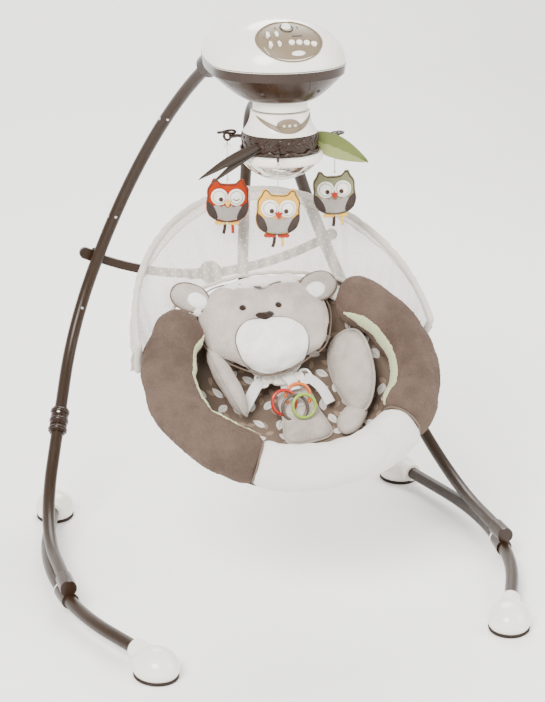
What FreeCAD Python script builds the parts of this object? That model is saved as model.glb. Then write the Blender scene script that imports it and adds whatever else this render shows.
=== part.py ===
"""Cradle swing for a baby: floor frame, motor head, turning seat and mobile.

Millimetres. +Z is up and the seat faces -Y. The pieces are drawn about the
swing's own axis, and saved with the origin on the floor below the middle of
the whole object.
"""
import FreeCAD, Part
import math
import os

V = FreeCAD.Vector
X_AXIS = V(1, 0, 0)
Y_AXIS = V(0, 1, 0)
Z_AXIS = V(0, 0, 1)
LEFT, RIGHT = -1, 1

# ---- fits ----
PIN_PLAY = 0.05          # radial clearance of a running pin
BUTTON_PLAY = 0.4        # gap round a push button
SOFT_GAP = 1.5           # gap kept between soft pieces and what is beside them

# ---- floor frame ----
TUBE_R = 12.5            # legs and rails
TUBE_WALL = 1.5
RAIL_Z = 31.0            # height of the rail's centreline
FRONT_FOOT = (333.0, -370.0)
REAR_FOOT = (381.0, 376.0)
RAIL_FRONT_BEND = (434.0, -150.0)
RAIL_REAR_BEND = (451.0, 96.0)
RAIL_FRONT_RADIUS = 600.0
RAIL_REAR_RADIUS = 720.0
FOOT_LENGTH = 92.0
FOOT_WIDTH = 80.0
FOOT_HEIGHT = 54.0
FOOT_SLEEVE_R = 18.5
FOOT_SLEEVE_LENGTH = 58.0

# ---- legs, drawn in a plane that splays outward from the fold axis ----
FOLD_X = 56.0            # fold axes, parallel to Y
HEAD_Z = 985.0           # height of the fold axes and of the swing axle
SPLAY = 22.3             # degrees from vertical
LEG_TOP_Y = 215.0
LEG_BACK_Y = 512.0
LEG_TOP_BEND = 207.0     # distances below the fold axis, along the splayed plane
LEG_LOW_BEND = 657.0
LEG_TOP_RADIUS = 570.0
LEG_LOW_RADIUS = 330.0
LEG_FLOOR_RADIUS = 330.0
LEG_FLOOR_BEND_Y = 186.0
LEG_END_Y = -95.0
LEG_SEAT_Z = 56.3        # centreline height where the leg lies along the rail
COLLAR_Y = 352.0
COLLAR_LENGTH = 56.0
COLLAR_R = 16.0
FOLD_PIN_R = 6.0
KNUCKLE_R = 14.0
KNUCKLE_LENGTH = 52.0
SADDLE_LENGTH = 48.0
SADDLE_WALL = 3.5

# ---- folding brace behind the seat ----
BRACE_Z = 512.0
BRACE_X = FOLD_X + (HEAD_Z - BRACE_Z) * math.tan(math.radians(SPLAY))
BRACE_DROP = 55.0
BRACE_DEPTH = 9.0        # along Y
BRACE_HEIGHT = 18.0
BRACE_GAP = 2.5          # between a leg and the brace behind it
BRACE_STUD_R = 5.0
BRACE_BOSS_R = 12.0
BRACE_TAIL = 24.0        # how far each half reaches past its leg
BRACE_PIN_R = 4.0
BRACE_PIN_HEAD = 2.5
BRACE_PIN_PLAY = 14.0    # the right half stops this far short of the centre pin
CHEEK_R = 24.0
CHEEK_DEPTH = 4.0
CHEEK_GAP = 1.0

# ---- motor head ----
HEAD_HALF_X = 124.0
HEAD_WIDE_Y = 12.0       # where the egg-shaped head is widest
HEAD_FRONT = 112.0       # from there to its front
HEAD_REAR = 292.0        # and to its tail, where the legs leave
SEAM_Z = 998.0
DOME_HEIGHT = 82.0
BAND_HEIGHT = 17.0
SHELL_WALL = 3.0
FUNNEL_Z = 938.0
FUNNEL_HALF_X = 67.0
FUNNEL_HALF_Y = 62.0
AXLE_R = 8.0
AXLE_FRONT_Y = -62.0
AXLE_REAR_Y = 143.0
RIB_THICK = 9.0
RIB_RISE = 24.0          # the walls stop this far above the funnel, clear of the neck
MOTOR_PLACE = (33.0, 994.0)
MOTOR_R = 16.0
MOTOR_LENGTH = 58.0
GEARS_HALF_X = 14.0
GEARS_HALF_Z = 20.0
GEARS_DEPTH = 16.0
SOCKET_R = 24.0
SOCKET_BORE_R = 19.5
SOCKET_REACH = 58.0

# ---- control panel ----
PANEL_HALF_U = 62.0
PANEL_HALF_V = 48.0
PANEL_TILT = 33.0
PANEL_SINK = 1.5
PANEL_THICK = 4.0
BUTTON_PROUD = 2.2
BUTTON_DEPTH = 6.0
POWER_R = 8.5
POWER_V = 28.0
MODE_R = 5.6
MODE_PITCH = 14.0
MODE_V = -15.0
ROCKER_U = -30.0
ROCKER_V = (9.0, -14.5)
ROCKER_DEPTH = 9.0       # its plate hangs this far below the curved panel
ROCKER_OUTER_R = 11.4
ROCKER_INNER_R = 5.6
ROCKER_OPENING = 50.0    # half angle left open at top and bottom

# ---- swinging neck, turret and hanger ----
NECK_R = 50.0
NECK_TOP_Z = 955.0
NECK_BOTTOM_Z = 918.0
NECK_HUB_R = 19.0
NECK_HUB_LENGTH = 84.0
SPINDLE_R = 20.0
SPINDLE_BOTTOM_Z = 881.0
BELL_TOP_Z = 915.0
BELL_TOP_R = 54.0
BELL_BOTTOM_Z = 876.0
BELL_BOTTOM_R = 69.0
MOBILE_SPINDLE_R = 9.0
SELECTOR_Z = 897.0
SELECTOR_HALF_X = 21.0
SELECTOR_HALF_Z = 10.5
HANGER_R = 11.0
HANGER_ROUTE = ((48.0, 897.0), (205.0, 897.0), (250.0, 700.0), (270.0, 520.0), (165.0, 372.0))
HANGER_RADII = (70.0, 380.0, 110.0)
RECLINE_R = 17.0
RECLINE_HALF = 24.0
RECLINE_PIN_R = 6.0

# ---- mobile ----
MOBILE_R = 70.0
MOBILE_TOP_Z = 875.0
MOBILE_BOTTOM_Z = 840.0
BEZEL_R = 79.0
BEZEL_BOTTOM_Z = 822.0
MIRROR_R = 71.0
MIRROR_DROP = 36.0
TWIG_R = 3.2
TWIG_REACH = 109.0
TWIG_Z = 852.0
LOOP_R = 7.0
TOY_ANGLES = (252.0, 132.0, 12.0)
TOY_TOP_Z = (795.0, 772.0, 789.0)
TOY_HALF_X = 40.0
TOY_HEIGHT = 86.0
TOY_THICK = 15.0
STRING_R = 0.8

# ---- seat, drawn level and then tipped back ----
SEAT_PLACE = V(0, -81, 444)
SEAT_TILT = 40.0
ROLL_R = 42.0
ROLL_HALF_X = 238.0
ROLL_HALF_S = 202.0
ROLL_S = -10.0
ROLL_END = 47.0          # degrees, where each side roll stops at the back
FRONT_FROM = -117.0      # seams of the pale front roll
FRONT_TO = -40.0
BOWL_HALF_X = 236.0
BOWL_HALF_S = 215.0
BOWL_DEPTH = 105.0
BOWL_S = -5.0
BOWL_TOP = -20.0
BOWL_WALL = 4.0
LINER_THICK = 18.0
HEAD_PAD_LEAN = 12.0     # the head pad rises towards the back of the tray
HEAD_PAD = (V(-19, 108, -32), V(118, 92, 16))      # each pad: its centre and its half sizes
LEFT_SUPPORT = (V(-116, -14, -60), V(24, 50, 38))
RIGHT_SUPPORT = (V(120, 4, -60), V(26, 70, 40))
CROTCH_PAD = (V(16, -62, -86), V(42, 52, 9))
LOOP_TUBE_R = 8.0
LOOP_N = -56.0
STAY_X = 34.0
TOY_RING_TUBE_R = 3.2
TOY_RING_LEAN = 34.0     # the bunch leans up from the pad, towards the front
TOY_RINGS = ((-13, -39, 23, 1.8), (17, -29, 24, 0), (5, -53, 24, 1.6), (21, -50, 22, 10.7))   # x, s, radius, rise
TOY_RING_N = -59.0
HOOP_R = 5.0
HOOP_HALF_X = 284.0
HOOP_HALF_S = 334.0
HOOP_S = 60.0
HOOP_N = 27.0
HOOP_DROP = 4.0          # its ends run this far under the loop's centreline
HOOP_SEAT = 0.953        # where they meet the loop, as a share of its half width
HOOP_BEND = 20.0
NET_THICK = 1.6
NET_END = 8.0            # degrees left bare at each end of the hoop
NET_BACK_S = 165.0       # the netting's inner edge, behind the lining
NET_SIDE_GAP = 6.0


def middle_y():
    """Half way between the front of the feet and the back of the brace's pin."""
    turn = math.atan2(RAIL_FRONT_BEND[0] - FRONT_FOOT[0], RAIL_FRONT_BEND[1] - FRONT_FOOT[1])
    toe = math.hypot(FOOT_LENGTH / 2 * math.cos(turn), FOOT_WIDTH / 2 * math.sin(turn))
    pin = LEG_BACK_Y + TUBE_R + BRACE_GAP + BRACE_DEPTH + CHEEK_GAP + CHEEK_DEPTH + BRACE_PIN_HEAD
    return (FRONT_FOOT[1] - toe + pin) / 2


def save(name, shape):
    """Write one sub-part to its own STEP file, moved to the part's origin."""
    if len(shape.Solids) != 1 or not shape.isValid():
        print("CHECK", name, "solids", len(shape.Solids), "valid", shape.isValid())
    solid = shape.Solids[0]
    solid.translate(V(0, -middle_y(), 0))
    solid.exportStep("parts/%s.step" % name)


def cylinder(radius, length, base, direction=Z_AXIS):
    return Part.makeCylinder(radius, length, base, direction)


def box(low, high):
    """A box between two opposite corners."""
    size = high - low
    return Part.makeBox(size.x, size.y, size.z, low)


def ellipsoid(centre, half):
    """A ball stretched to three half-lengths."""
    ball = Part.makeSphere(1.0)
    grow = FreeCAD.Matrix()
    grow.scale(half.x, half.y, half.z)
    shape = ball.transformGeometry(grow)
    shape.translate(centre)
    return shape


def ellipse_wire(half_x, half_y, centre):
    """A closed ellipse in a level plane, whichever way it is longer."""
    if half_x >= half_y:
        curve = Part.Ellipse(centre + V(half_x, 0, 0), centre + V(0, half_y, 0), centre)
    else:
        curve = Part.Ellipse(centre + V(0, half_y, 0), centre - V(half_x, 0, 0), centre)
    return Part.Wire([curve.toShape()])


def ellipse_arc(half_x, half_y, centre, start, end):
    """An ellipse's edge from one angle to another, in degrees from +X."""
    if half_x >= half_y:
        curve = Part.Ellipse(centre + V(half_x, 0, 0), centre + V(0, half_y, 0), centre)
        turn = 0.0
    else:
        curve = Part.Ellipse(centre + V(0, half_y, 0), centre - V(half_x, 0, 0), centre)
        turn = -90.0
    return curve.toShape(math.radians(start + turn), math.radians(end + turn))


def rounded_path(points, radii):
    """Straight runs through the points, with a tangent arc at each corner."""
    edges = []
    here = points[0]
    for index, radius in enumerate(radii):
        corner = points[index + 1]
        back = (points[index] - corner).normalize()
        ahead = (points[index + 2] - corner).normalize()
        half = (math.pi - back.getAngle(ahead)) / 2
        reach = radius * math.tan(half)
        first = corner + back * reach
        last = corner + ahead * reach
        inward = (back + ahead).normalize()
        middle = corner + inward * (radius / math.cos(half) - radius)
        if (first - here).Length > 0.01:
            edges.append(Part.LineSegment(here, first).toShape())
        edges.append(Part.Arc(first, middle, last).toShape())
        here = last
    if (points[-1] - here).Length > 0.01:
        edges.append(Part.LineSegment(here, points[-1]).toShape())
    return Part.Wire(edges)


def sweep(path, radius):
    """A round bar along a smooth path."""
    first = path.OrderedEdges[0] if isinstance(path, Part.Wire) else path
    start = first.valueAt(first.FirstParameter)
    along = first.tangentAt(first.FirstParameter)
    ring = Part.Wire([Part.makeCircle(radius, start, along)])
    wire = path if isinstance(path, Part.Wire) else Part.Wire([path])
    return wire.makePipeShell([ring], True, True)


def pipe(path, radius, wall):
    """A hollow tube along a smooth path."""
    return sweep(path, radius).cut(sweep(path, radius - wall))


def mirrored(shape, side):
    """The shape itself on the right, its mirror image on the left."""
    return shape if side == RIGHT else shape.mirror(V(0, 0, 0), X_AXIS)


def tipped(shape):
    """Carry a seat piece from its level drawing to where it hangs."""
    shape.Placement = FreeCAD.Placement(SEAT_PLACE, FreeCAD.Rotation(X_AXIS, SEAT_TILT)) * shape.Placement
    return shape


# ---------------------------------------------------------------- floor frame

def leg_point(y, below):
    """A place in the right leg's splayed plane."""
    lean = math.radians(SPLAY)
    return V(FOLD_X + below * math.sin(lean), y, HEAD_Z - below * math.cos(lean))


def leg_route():
    """Corners of the leg's centreline, from the motor head to the rail."""
    end = (HEAD_Z - LEG_SEAT_Z) / math.cos(math.radians(SPLAY))
    return [leg_point(LEG_TOP_Y, 2.0), leg_point(LEG_BACK_Y, LEG_TOP_BEND),
            leg_point(LEG_BACK_Y, LEG_LOW_BEND), leg_point(LEG_FLOOR_BEND_Y, end), leg_point(LEG_END_Y, end)]


def collar_frame():
    """Centre and direction of the sleeve that joins a leg's two tubes."""
    low, floor = leg_route()[2:4]
    share = (low.y - COLLAR_Y) / (low.y - floor.y)
    return low + (floor - low) * share, (floor - low).normalize()


def leg_tubes():
    """The leg's upper and lower tubes, which meet inside the collar."""
    whole = pipe(leg_path(), TUBE_R, TUBE_WALL)
    centre, along = collar_frame()
    size = 1400.0
    below = Part.makeCylinder(size, size, centre, along)
    upper = whole.cut(below)
    lower = whole.common(below)
    knuckle_end = LEG_TOP_Y + TUBE_R
    knuckle = cylinder(KNUCKLE_R, KNUCKLE_LENGTH, V(FOLD_X, knuckle_end - KNUCKLE_LENGTH, HEAD_Z), Y_AXIS)
    stud_length = TUBE_R + BRACE_GAP + BRACE_DEPTH + 1.0
    stud = cylinder(BRACE_STUD_R, stud_length, V(BRACE_X, LEG_BACK_Y, BRACE_Z), Y_AXIS)
    head = cylinder(BRACE_STUD_R + 4, 4.0, V(BRACE_X, LEG_BACK_Y + stud_length, BRACE_Z), Y_AXIS)
    bore = cylinder(FOLD_PIN_R + PIN_PLAY, KNUCKLE_LENGTH - 4, V(FOLD_X, knuckle_end - KNUCKLE_LENGTH, HEAD_Z), Y_AXIS)
    upper = upper.fuse([knuckle, stud, head]).cut(bore).removeSplitter()
    return upper, lower


def collar():
    """The stepped plastic sleeve over the joint between the leg's tubes."""
    centre, along = collar_frame()
    base = centre - along * (COLLAR_LENGTH / 2)
    sleeve = cylinder(COLLAR_R, COLLAR_LENGTH, base, along)
    step = cylinder(COLLAR_R + 2, COLLAR_LENGTH * 0.4, base + along * (COLLAR_LENGTH * 0.3), along)
    return sleeve.fuse(step).cut(cylinder(TUBE_R, COLLAR_LENGTH, base, along)).removeSplitter()


def rail_route():
    """Corners of the right rail's centreline, from front foot to rear foot."""
    front = V(FRONT_FOOT[0], FRONT_FOOT[1], RAIL_Z)
    rear = V(REAR_FOOT[0], REAR_FOOT[1], RAIL_Z)
    return [front, V(RAIL_FRONT_BEND[0], RAIL_FRONT_BEND[1], RAIL_Z),
            V(RAIL_REAR_BEND[0], RAIL_REAR_BEND[1], RAIL_Z), rear]


def rail():
    """The bowed tube along the floor."""
    return pipe(rail_path(), TUBE_R, TUBE_WALL)


def leg_path():
    return rounded_path(leg_route(), [LEG_TOP_RADIUS, LEG_LOW_RADIUS, LEG_FLOOR_RADIUS])


def rail_path():
    return rounded_path(rail_route(), [RAIL_FRONT_RADIUS, RAIL_REAR_RADIUS])


def saddle():
    """The clamp that ties the end of the leg down to the rail."""
    front = LEG_END_Y - 4
    slab = box(V(0, front, 0), V(700, front + SADDLE_LENGTH, 100))
    outer = [sweep(path, TUBE_R + SADDLE_WALL).common(slab) for path in (rail_path(), leg_path())]
    end = leg_route()[-1]
    nose = Part.makeSphere(TUBE_R + SADDLE_WALL, end).common(slab)
    clamp = outer[0].fuse([outer[1], nose])
    return clamp.cut([sweep(rail_path(), TUBE_R), sweep(leg_path(), TUBE_R)]).removeSplitter()


def foot(centre, toward):
    """A rounded foot with the sleeve that takes the end of a rail."""
    along = (toward - centre).normalize()
    spin = math.degrees(math.atan2(along.y, along.x)) - 90.0
    middle = FOOT_HEIGHT * 0.38
    blob = ellipsoid(V(0, 0, middle), V(FOOT_WIDTH / 2, FOOT_LENGTH / 2, FOOT_HEIGHT - middle))
    blob = blob.common(box(V(-80, -80, 0), V(80, 80, 80)))
    blob.rotate(V(0, 0, 0), Z_AXIS, spin)
    blob.translate(V(centre.x, centre.y, 0))
    sleeve = cylinder(FOOT_SLEEVE_R, FOOT_SLEEVE_LENGTH, centre, along)
    return blob.fuse(sleeve).cut(sweep(rail_path(), TUBE_R)).removeSplitter()


def brace_arc(from_x):
    """Centreline of the right brace half, level where it meets the middle."""
    y = LEG_BACK_Y + TUBE_R + BRACE_GAP + BRACE_DEPTH / 2

    def on_curve(x):
        return V(x, y, BRACE_Z - BRACE_DROP + BRACE_DROP * (x / BRACE_X) ** 2)

    return Part.Arc(on_curve(BRACE_X), on_curve((BRACE_X + from_x) / 2), on_curve(from_x)).toShape()


def brace_bar(from_x):
    """The flat curved bar and the eye at its leg end."""
    arc = brace_arc(from_x)
    start = arc.valueAt(arc.FirstParameter)
    along = arc.tangentAt(arc.FirstParameter)
    across = along.cross(Y_AXIS).normalize()
    half_depth = Y_AXIS * (BRACE_DEPTH / 2)
    half_height = across * (BRACE_HEIGHT / 2)
    corners = [start - half_depth - half_height, start + half_depth - half_height,
               start + half_depth + half_height, start - half_depth + half_height]
    outline = Part.makePolygon(corners + corners[:1])
    bar = Part.Wire([arc]).makePipeShell([outline], True, True)
    base = V(BRACE_X, start.y - BRACE_DEPTH / 2, BRACE_Z)
    eye = cylinder(BRACE_BOSS_R, BRACE_DEPTH, base, Y_AXIS)
    tail = base - along * BRACE_TAIL
    tail_end = cylinder(BRACE_BOSS_R, BRACE_DEPTH, tail, Y_AXIS)
    side = across * BRACE_BOSS_R
    corners = [base - side, base + side, tail + side, tail - side]
    link = Part.Face(Part.makePolygon(corners + corners[:1])).extrude(Y_AXIS * BRACE_DEPTH)
    hole = cylinder(BRACE_STUD_R + PIN_PLAY, BRACE_DEPTH, base, Y_AXIS)
    return bar.fuse([eye, link, tail_end]).cut(hole).removeSplitter()


def brace_halves():
    """Left half with its fork and riveted centre pin, and the right half."""
    y = LEG_BACK_Y + TUBE_R + BRACE_GAP + BRACE_DEPTH / 2
    centre_z = BRACE_Z - BRACE_DROP
    stop = BRACE_PIN_R + BRACE_PIN_PLAY
    right = brace_bar(stop + BRACE_HEIGHT / 2)
    tip = V(stop + BRACE_HEIGHT / 2, y - BRACE_DEPTH / 2, centre_z)
    right = right.fuse(cylinder(BRACE_HEIGHT / 2, BRACE_DEPTH, tip, Y_AXIS)).removeSplitter()
    reach = CHEEK_R + 26
    left = mirrored(brace_bar(reach - 12), LEFT)
    half_gap = BRACE_DEPTH / 2 + CHEEK_GAP
    pieces = []
    for base_y in (y - half_gap - CHEEK_DEPTH, y + half_gap):
        pieces.append(cylinder(CHEEK_R, CHEEK_DEPTH, V(0, base_y, centre_z), Y_AXIS))
        low = V(-reach, base_y, centre_z - BRACE_HEIGHT / 2)
        pieces.append(box(low, V(0, base_y + CHEEK_DEPTH, centre_z + BRACE_HEIGHT / 2)))
    bridge_low = V(-reach, y - half_gap, centre_z - BRACE_HEIGHT / 2)
    pieces.append(box(bridge_low, V(-reach + 14, y + half_gap, centre_z + BRACE_HEIGHT / 2)))
    half_pin = half_gap + CHEEK_DEPTH
    pieces.append(cylinder(BRACE_PIN_R, 2 * half_pin, V(0, y - half_pin, centre_z), Y_AXIS))
    for base_y in (y - half_pin - BRACE_PIN_HEAD, y + half_pin):
        pieces.append(cylinder(BRACE_PIN_R + 3, BRACE_PIN_HEAD, V(0, base_y, centre_z), Y_AXIS))
    return left.fuse(pieces).removeSplitter(), right


# ---------------------------------------------------------------- motor head

def egg_wire(half_x, front, rear, y, z):
    """The head's level outline: a short half-ellipse in front, a long one behind."""
    centre = V(0, y, z)
    return Part.Wire([ellipse_arc(half_x, rear, centre, 0, 180), ellipse_arc(half_x, front, centre, 180, 360)])


def dome_end(inset, length, turn):
    """The front or rear end of the head's upper half, drawn in by an even margin."""
    middle = math.sqrt(0.5)
    edges = [Part.Arc(X_AXIS, V(middle, 0, middle), Z_AXIS).toShape(),
             Part.LineSegment(Z_AXIS, V(0, 0, 0)).toShape(),
             Part.LineSegment(V(0, 0, 0), X_AXIS).toShape()]
    profile = Part.Face(Part.Wire(edges))
    profile.rotate(V(0, 0, 0), Z_AXIS, turn)
    end = profile.revolve(V(0, 0, 0), Z_AXIS, 180)
    grow = FreeCAD.Matrix()
    grow.scale(HEAD_HALF_X - inset, length - inset, DOME_HEIGHT - inset)
    end = end.transformGeometry(grow)
    end.translate(V(0, HEAD_WIDE_Y, SEAM_Z))
    return end


def dome(inset):
    """The head's whole upper half, a short end in front and a long tail."""
    return dome_end(inset, HEAD_FRONT, 180).fuse(dome_end(inset, HEAD_REAR, 0))


def dome_skin(outer, inner):
    """The curved wall between two margins."""
    return dome(outer).cut(dome(inner))


def panel_frame():
    """Centre of the control panel on the dome, with its right, up and out directions."""
    tilt = math.radians(PANEL_TILT)
    out = V(0, -math.sin(tilt), math.cos(tilt))
    up = V(0, math.cos(tilt), math.sin(tilt))
    scale = math.hypot(HEAD_FRONT * out.y, DOME_HEIGHT * out.z)
    centre = V(0, HEAD_WIDE_Y + HEAD_FRONT ** 2 * out.y / scale, SEAM_Z + DOME_HEIGHT ** 2 * out.z / scale)
    return centre, X_AXIS, up, out


def panel_column():
    """An oval column through the dome on the panel's axis."""
    centre, right, up, out = panel_frame()
    base = centre - out * 45.0
    curve = Part.Ellipse(base + right * PANEL_HALF_U, base + up * PANEL_HALF_V, base)
    return Part.Face(Part.Wire([curve.toShape()])).extrude(out * 90.0)


def surface_drop(u, v):
    """How far the dome lies below the panel's tangent plane at a place on it."""
    centre, right, up, out = panel_frame()
    place = centre + right * u + up * v
    length = HEAD_FRONT if place.y < HEAD_WIDE_Y else HEAD_REAR
    y = (place.y - HEAD_WIDE_Y) / length
    x = place.x / HEAD_HALF_X
    z = (place.z - SEAM_Z) / DOME_HEIGHT
    dy = out.y / length
    dz = out.z / DOME_HEIGHT
    a = dy * dy + dz * dz
    b = y * dy + z * dz
    c = x * x + y * y + z * z - 1.0
    return (b - math.sqrt(b * b - a * c)) / a


def on_panel(u, v, lift):
    """A place above the panel's face, with the panel's outward direction."""
    centre, right, up, out = panel_frame()
    return centre + right * u + up * v + out * (lift - PANEL_SINK - surface_drop(u, v)), out


def round_button(u, v, radius):
    """A push button and the column of air that it moves in."""
    base, out = on_panel(u, v, -BUTTON_DEPTH - PANEL_THICK)
    length = BUTTON_DEPTH + PANEL_THICK + BUTTON_PROUD
    cap = cylinder(radius, length, base, out)
    top = [e for e in cap.Edges if abs((e.CenterOfMass - base - out * length).Length) < 0.1]
    cap = cap.makeFillet(1.0, top)
    return cap, cylinder(radius + BUTTON_PLAY, length + 20.0, base - out * 10.0, out)


def crescents(base, out, inner, outer, height, opening):
    """Two facing arcs of a ring, open at top and bottom."""
    ring = cylinder(outer, height, base, out).cut(cylinder(inner, height, base, out))
    centre, right, up, normal = panel_frame()
    wedges = []
    for facing in (-1, 1):
        reach = 3 * outer
        spread = reach * math.tan(math.radians(opening))
        corners = [base, base + up * (facing * reach) + right * spread, base + up * (facing * reach) - right * spread]
        face = Part.Face(Part.makePolygon(corners + corners[:1]))
        wedges.append(face.extrude(out * height))
    return ring.cut(wedges)


def rocker(v):
    """One rocker with two crescent pads, and the room that it moves in."""
    base, out = on_panel(ROCKER_U, v, -ROCKER_DEPTH - PANEL_THICK)
    length = ROCKER_DEPTH + PANEL_THICK + BUTTON_PROUD
    pads = crescents(base, out, ROCKER_INNER_R, ROCKER_OUTER_R, length, ROCKER_OPENING)
    plate = cylinder(ROCKER_OUTER_R, 3.0, base, out)
    play = BUTTON_PLAY + 0.5
    room = crescents(base - out * 10, out, ROCKER_INNER_R - play, ROCKER_OUTER_R + play, length + 20.0,
                     ROCKER_OPENING - 5)
    return pads.fuse(plate).removeSplitter(), room


def head_buttons():
    """Each button's name, its solid and the hole that it needs."""
    found = [("power_button",) + round_button(0.0, POWER_V, POWER_R)]
    for index in range(4):
        found.append(("mode_button_%d" % (index + 1),) + round_button(index * MODE_PITCH, MODE_V, MODE_R))
    for name, v in zip(("volume_rocker", "speed_rocker"), ROCKER_V):
        found.append((name,) + rocker(v))
    return found


def funnel(inset):
    """The head's lower half, from the seam down to the neck opening."""
    band_z = SEAM_Z - BAND_HEIGHT
    x, front, rear = HEAD_HALF_X - inset, HEAD_FRONT - inset, HEAD_REAR - inset
    band = [egg_wire(x, front, rear, HEAD_WIDE_Y, SEAM_Z), egg_wire(x - 2, front - 2, rear - 2, HEAD_WIDE_Y, band_z)]
    bowl_wires = [egg_wire(x - 3, front - 3, rear - 3, HEAD_WIDE_Y, band_z),
                  egg_wire(x * 0.79, front * 0.8, rear * 0.72, HEAD_WIDE_Y * 0.6, (band_z + FUNNEL_Z) / 2),
                  egg_wire(FUNNEL_HALF_X - inset, FUNNEL_HALF_Y - inset, FUNNEL_HALF_Y - inset, 0.0, FUNNEL_Z)]
    return Part.makeLoft(band, True, True).fuse(Part.makeLoft(bowl_wires, True, False))


def leg_socket(radius, side, start=0.0):
    """A round sleeve about the top of a leg."""
    top, bend = leg_route()[:2]
    along = (bend - top).normalize()
    return mirrored(cylinder(radius, SOCKET_REACH - start, top + along * start, along), side)


def lower_shell():
    """The brown bowl with its leg sockets and the two walls that hold the axles."""
    shell = funnel(0.0).cut(funnel(SHELL_WALL))
    hull = funnel(SHELL_WALL - 1.0)
    for front_y in (AXLE_FRONT_Y, AXLE_REAR_Y):
        rib = box(V(-200, front_y, FUNNEL_Z + RIB_RISE), V(200, front_y + RIB_THICK, SEAM_Z))
        boss = cylinder(AXLE_R + 8, RIB_THICK, V(0, front_y, HEAD_Z), Y_AXIS)
        shell = shell.fuse([rib.common(hull), boss])
    for side in (LEFT, RIGHT):
        boss = cylinder(FOLD_PIN_R + 8, RIB_THICK, V(side * FOLD_X, AXLE_REAR_Y, HEAD_Z), Y_AXIS)
        shell = shell.fuse([boss, leg_socket(SOCKET_R, side, 14.0)])
    for side in (LEFT, RIGHT):
        shell = shell.cut(leg_socket(SOCKET_BORE_R, side))
        knuckle_room = cylinder(SOCKET_BORE_R, KNUCKLE_LENGTH + 20,
                                V(side * FOLD_X, AXLE_REAR_Y + RIB_THICK, HEAD_Z), Y_AXIS)
        shell = shell.cut([knuckle_room, fold_pin(side)])
    shell = shell.cut([swing_axle(), box(V(-300, -300, SEAM_Z), V(300, 500, SEAM_Z + 100))])
    return max(shell.Solids, key=lambda solid: solid.Volume)


def top_shell():
    """The white dome with the round window for the control panel."""
    return dome_skin(0.0, SHELL_WALL).cut(panel_column())


def control_panel(holes):
    """The panel that fills the dome's window, with a hole for each button."""
    panel = dome_skin(PANEL_SINK, PANEL_SINK + PANEL_THICK).common(panel_column())
    panel = max(panel.Solids, key=lambda solid: solid.CenterOfMass.z)
    return panel.cut(holes)


def fold_pin(side):
    """The pin that a leg folds on."""
    front = AXLE_REAR_Y - 6
    rear = LEG_TOP_Y + TUBE_R - 6
    return cylinder(FOLD_PIN_R, rear - front, V(side * FOLD_X, front, HEAD_Z), Y_AXIS)


def swing_axle():
    """The axle that the seat swings on."""
    front = AXLE_FRONT_Y - 4
    return cylinder(AXLE_R, AXLE_REAR_Y + RIB_THICK - front, V(0, front, HEAD_Z), Y_AXIS)


def swing_motor():
    """Motor and gear case, bolted to the rear wall beside the axle."""
    x, z = MOTOR_PLACE
    gears_y = AXLE_REAR_Y - GEARS_DEPTH
    body = cylinder(MOTOR_R, MOTOR_LENGTH, V(x, gears_y - MOTOR_LENGTH, z), Y_AXIS)
    gears = box(V(x - GEARS_HALF_X, gears_y, z - GEARS_HALF_Z), V(x + GEARS_HALF_X, AXLE_REAR_Y, z + GEARS_HALF_Z))
    return body.fuse(gears).removeSplitter()


# ---------------------------------------------------------------- neck, turret, hanger

def swing_neck():
    """The neck that swings on the axle and carries the turret's spindle."""
    hub = cylinder(NECK_HUB_R, NECK_HUB_LENGTH, V(0, -NECK_HUB_LENGTH / 2, HEAD_Z), Y_AXIS)
    web = box(V(-14, -NECK_HUB_LENGTH / 2 + 6, NECK_TOP_Z - 4), V(14, NECK_HUB_LENGTH / 2 - 6, HEAD_Z))
    plug = cylinder(NECK_R, NECK_TOP_Z - NECK_BOTTOM_Z, V(0, 0, NECK_BOTTOM_Z))
    plug = plug.makeFillet(8.0, [e for e in plug.Edges if e.CenterOfMass.z > NECK_TOP_Z - 1])
    spindle = cylinder(SPINDLE_R, NECK_BOTTOM_Z - SPINDLE_BOTTOM_Z, V(0, 0, SPINDLE_BOTTOM_Z))
    bore = cylinder(AXLE_R + PIN_PLAY, NECK_HUB_LENGTH, V(0, -NECK_HUB_LENGTH / 2, HEAD_Z), Y_AXIS)
    return hub.fuse([web, plug, spindle]).cut(bore).removeSplitter()


def selector_column(grow, depth_from, depth_to):
    """An upright oval column through the front of the bell."""
    curve = Part.Ellipse(V(SELECTOR_HALF_X + grow, depth_from, SELECTOR_Z),
                         V(0, depth_from, SELECTOR_Z + SELECTOR_HALF_Z + grow), V(0, depth_from, SELECTOR_Z))
    return Part.Face(Part.Wire([curve.toShape()])).extrude(V(0, depth_to - depth_from, 0))


def hanger_path():
    """Centreline of the tube that carries the seat."""
    points = [V(0, y, z) for y, z in HANGER_ROUTE]
    return rounded_path(points, list(HANGER_RADII))


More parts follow.
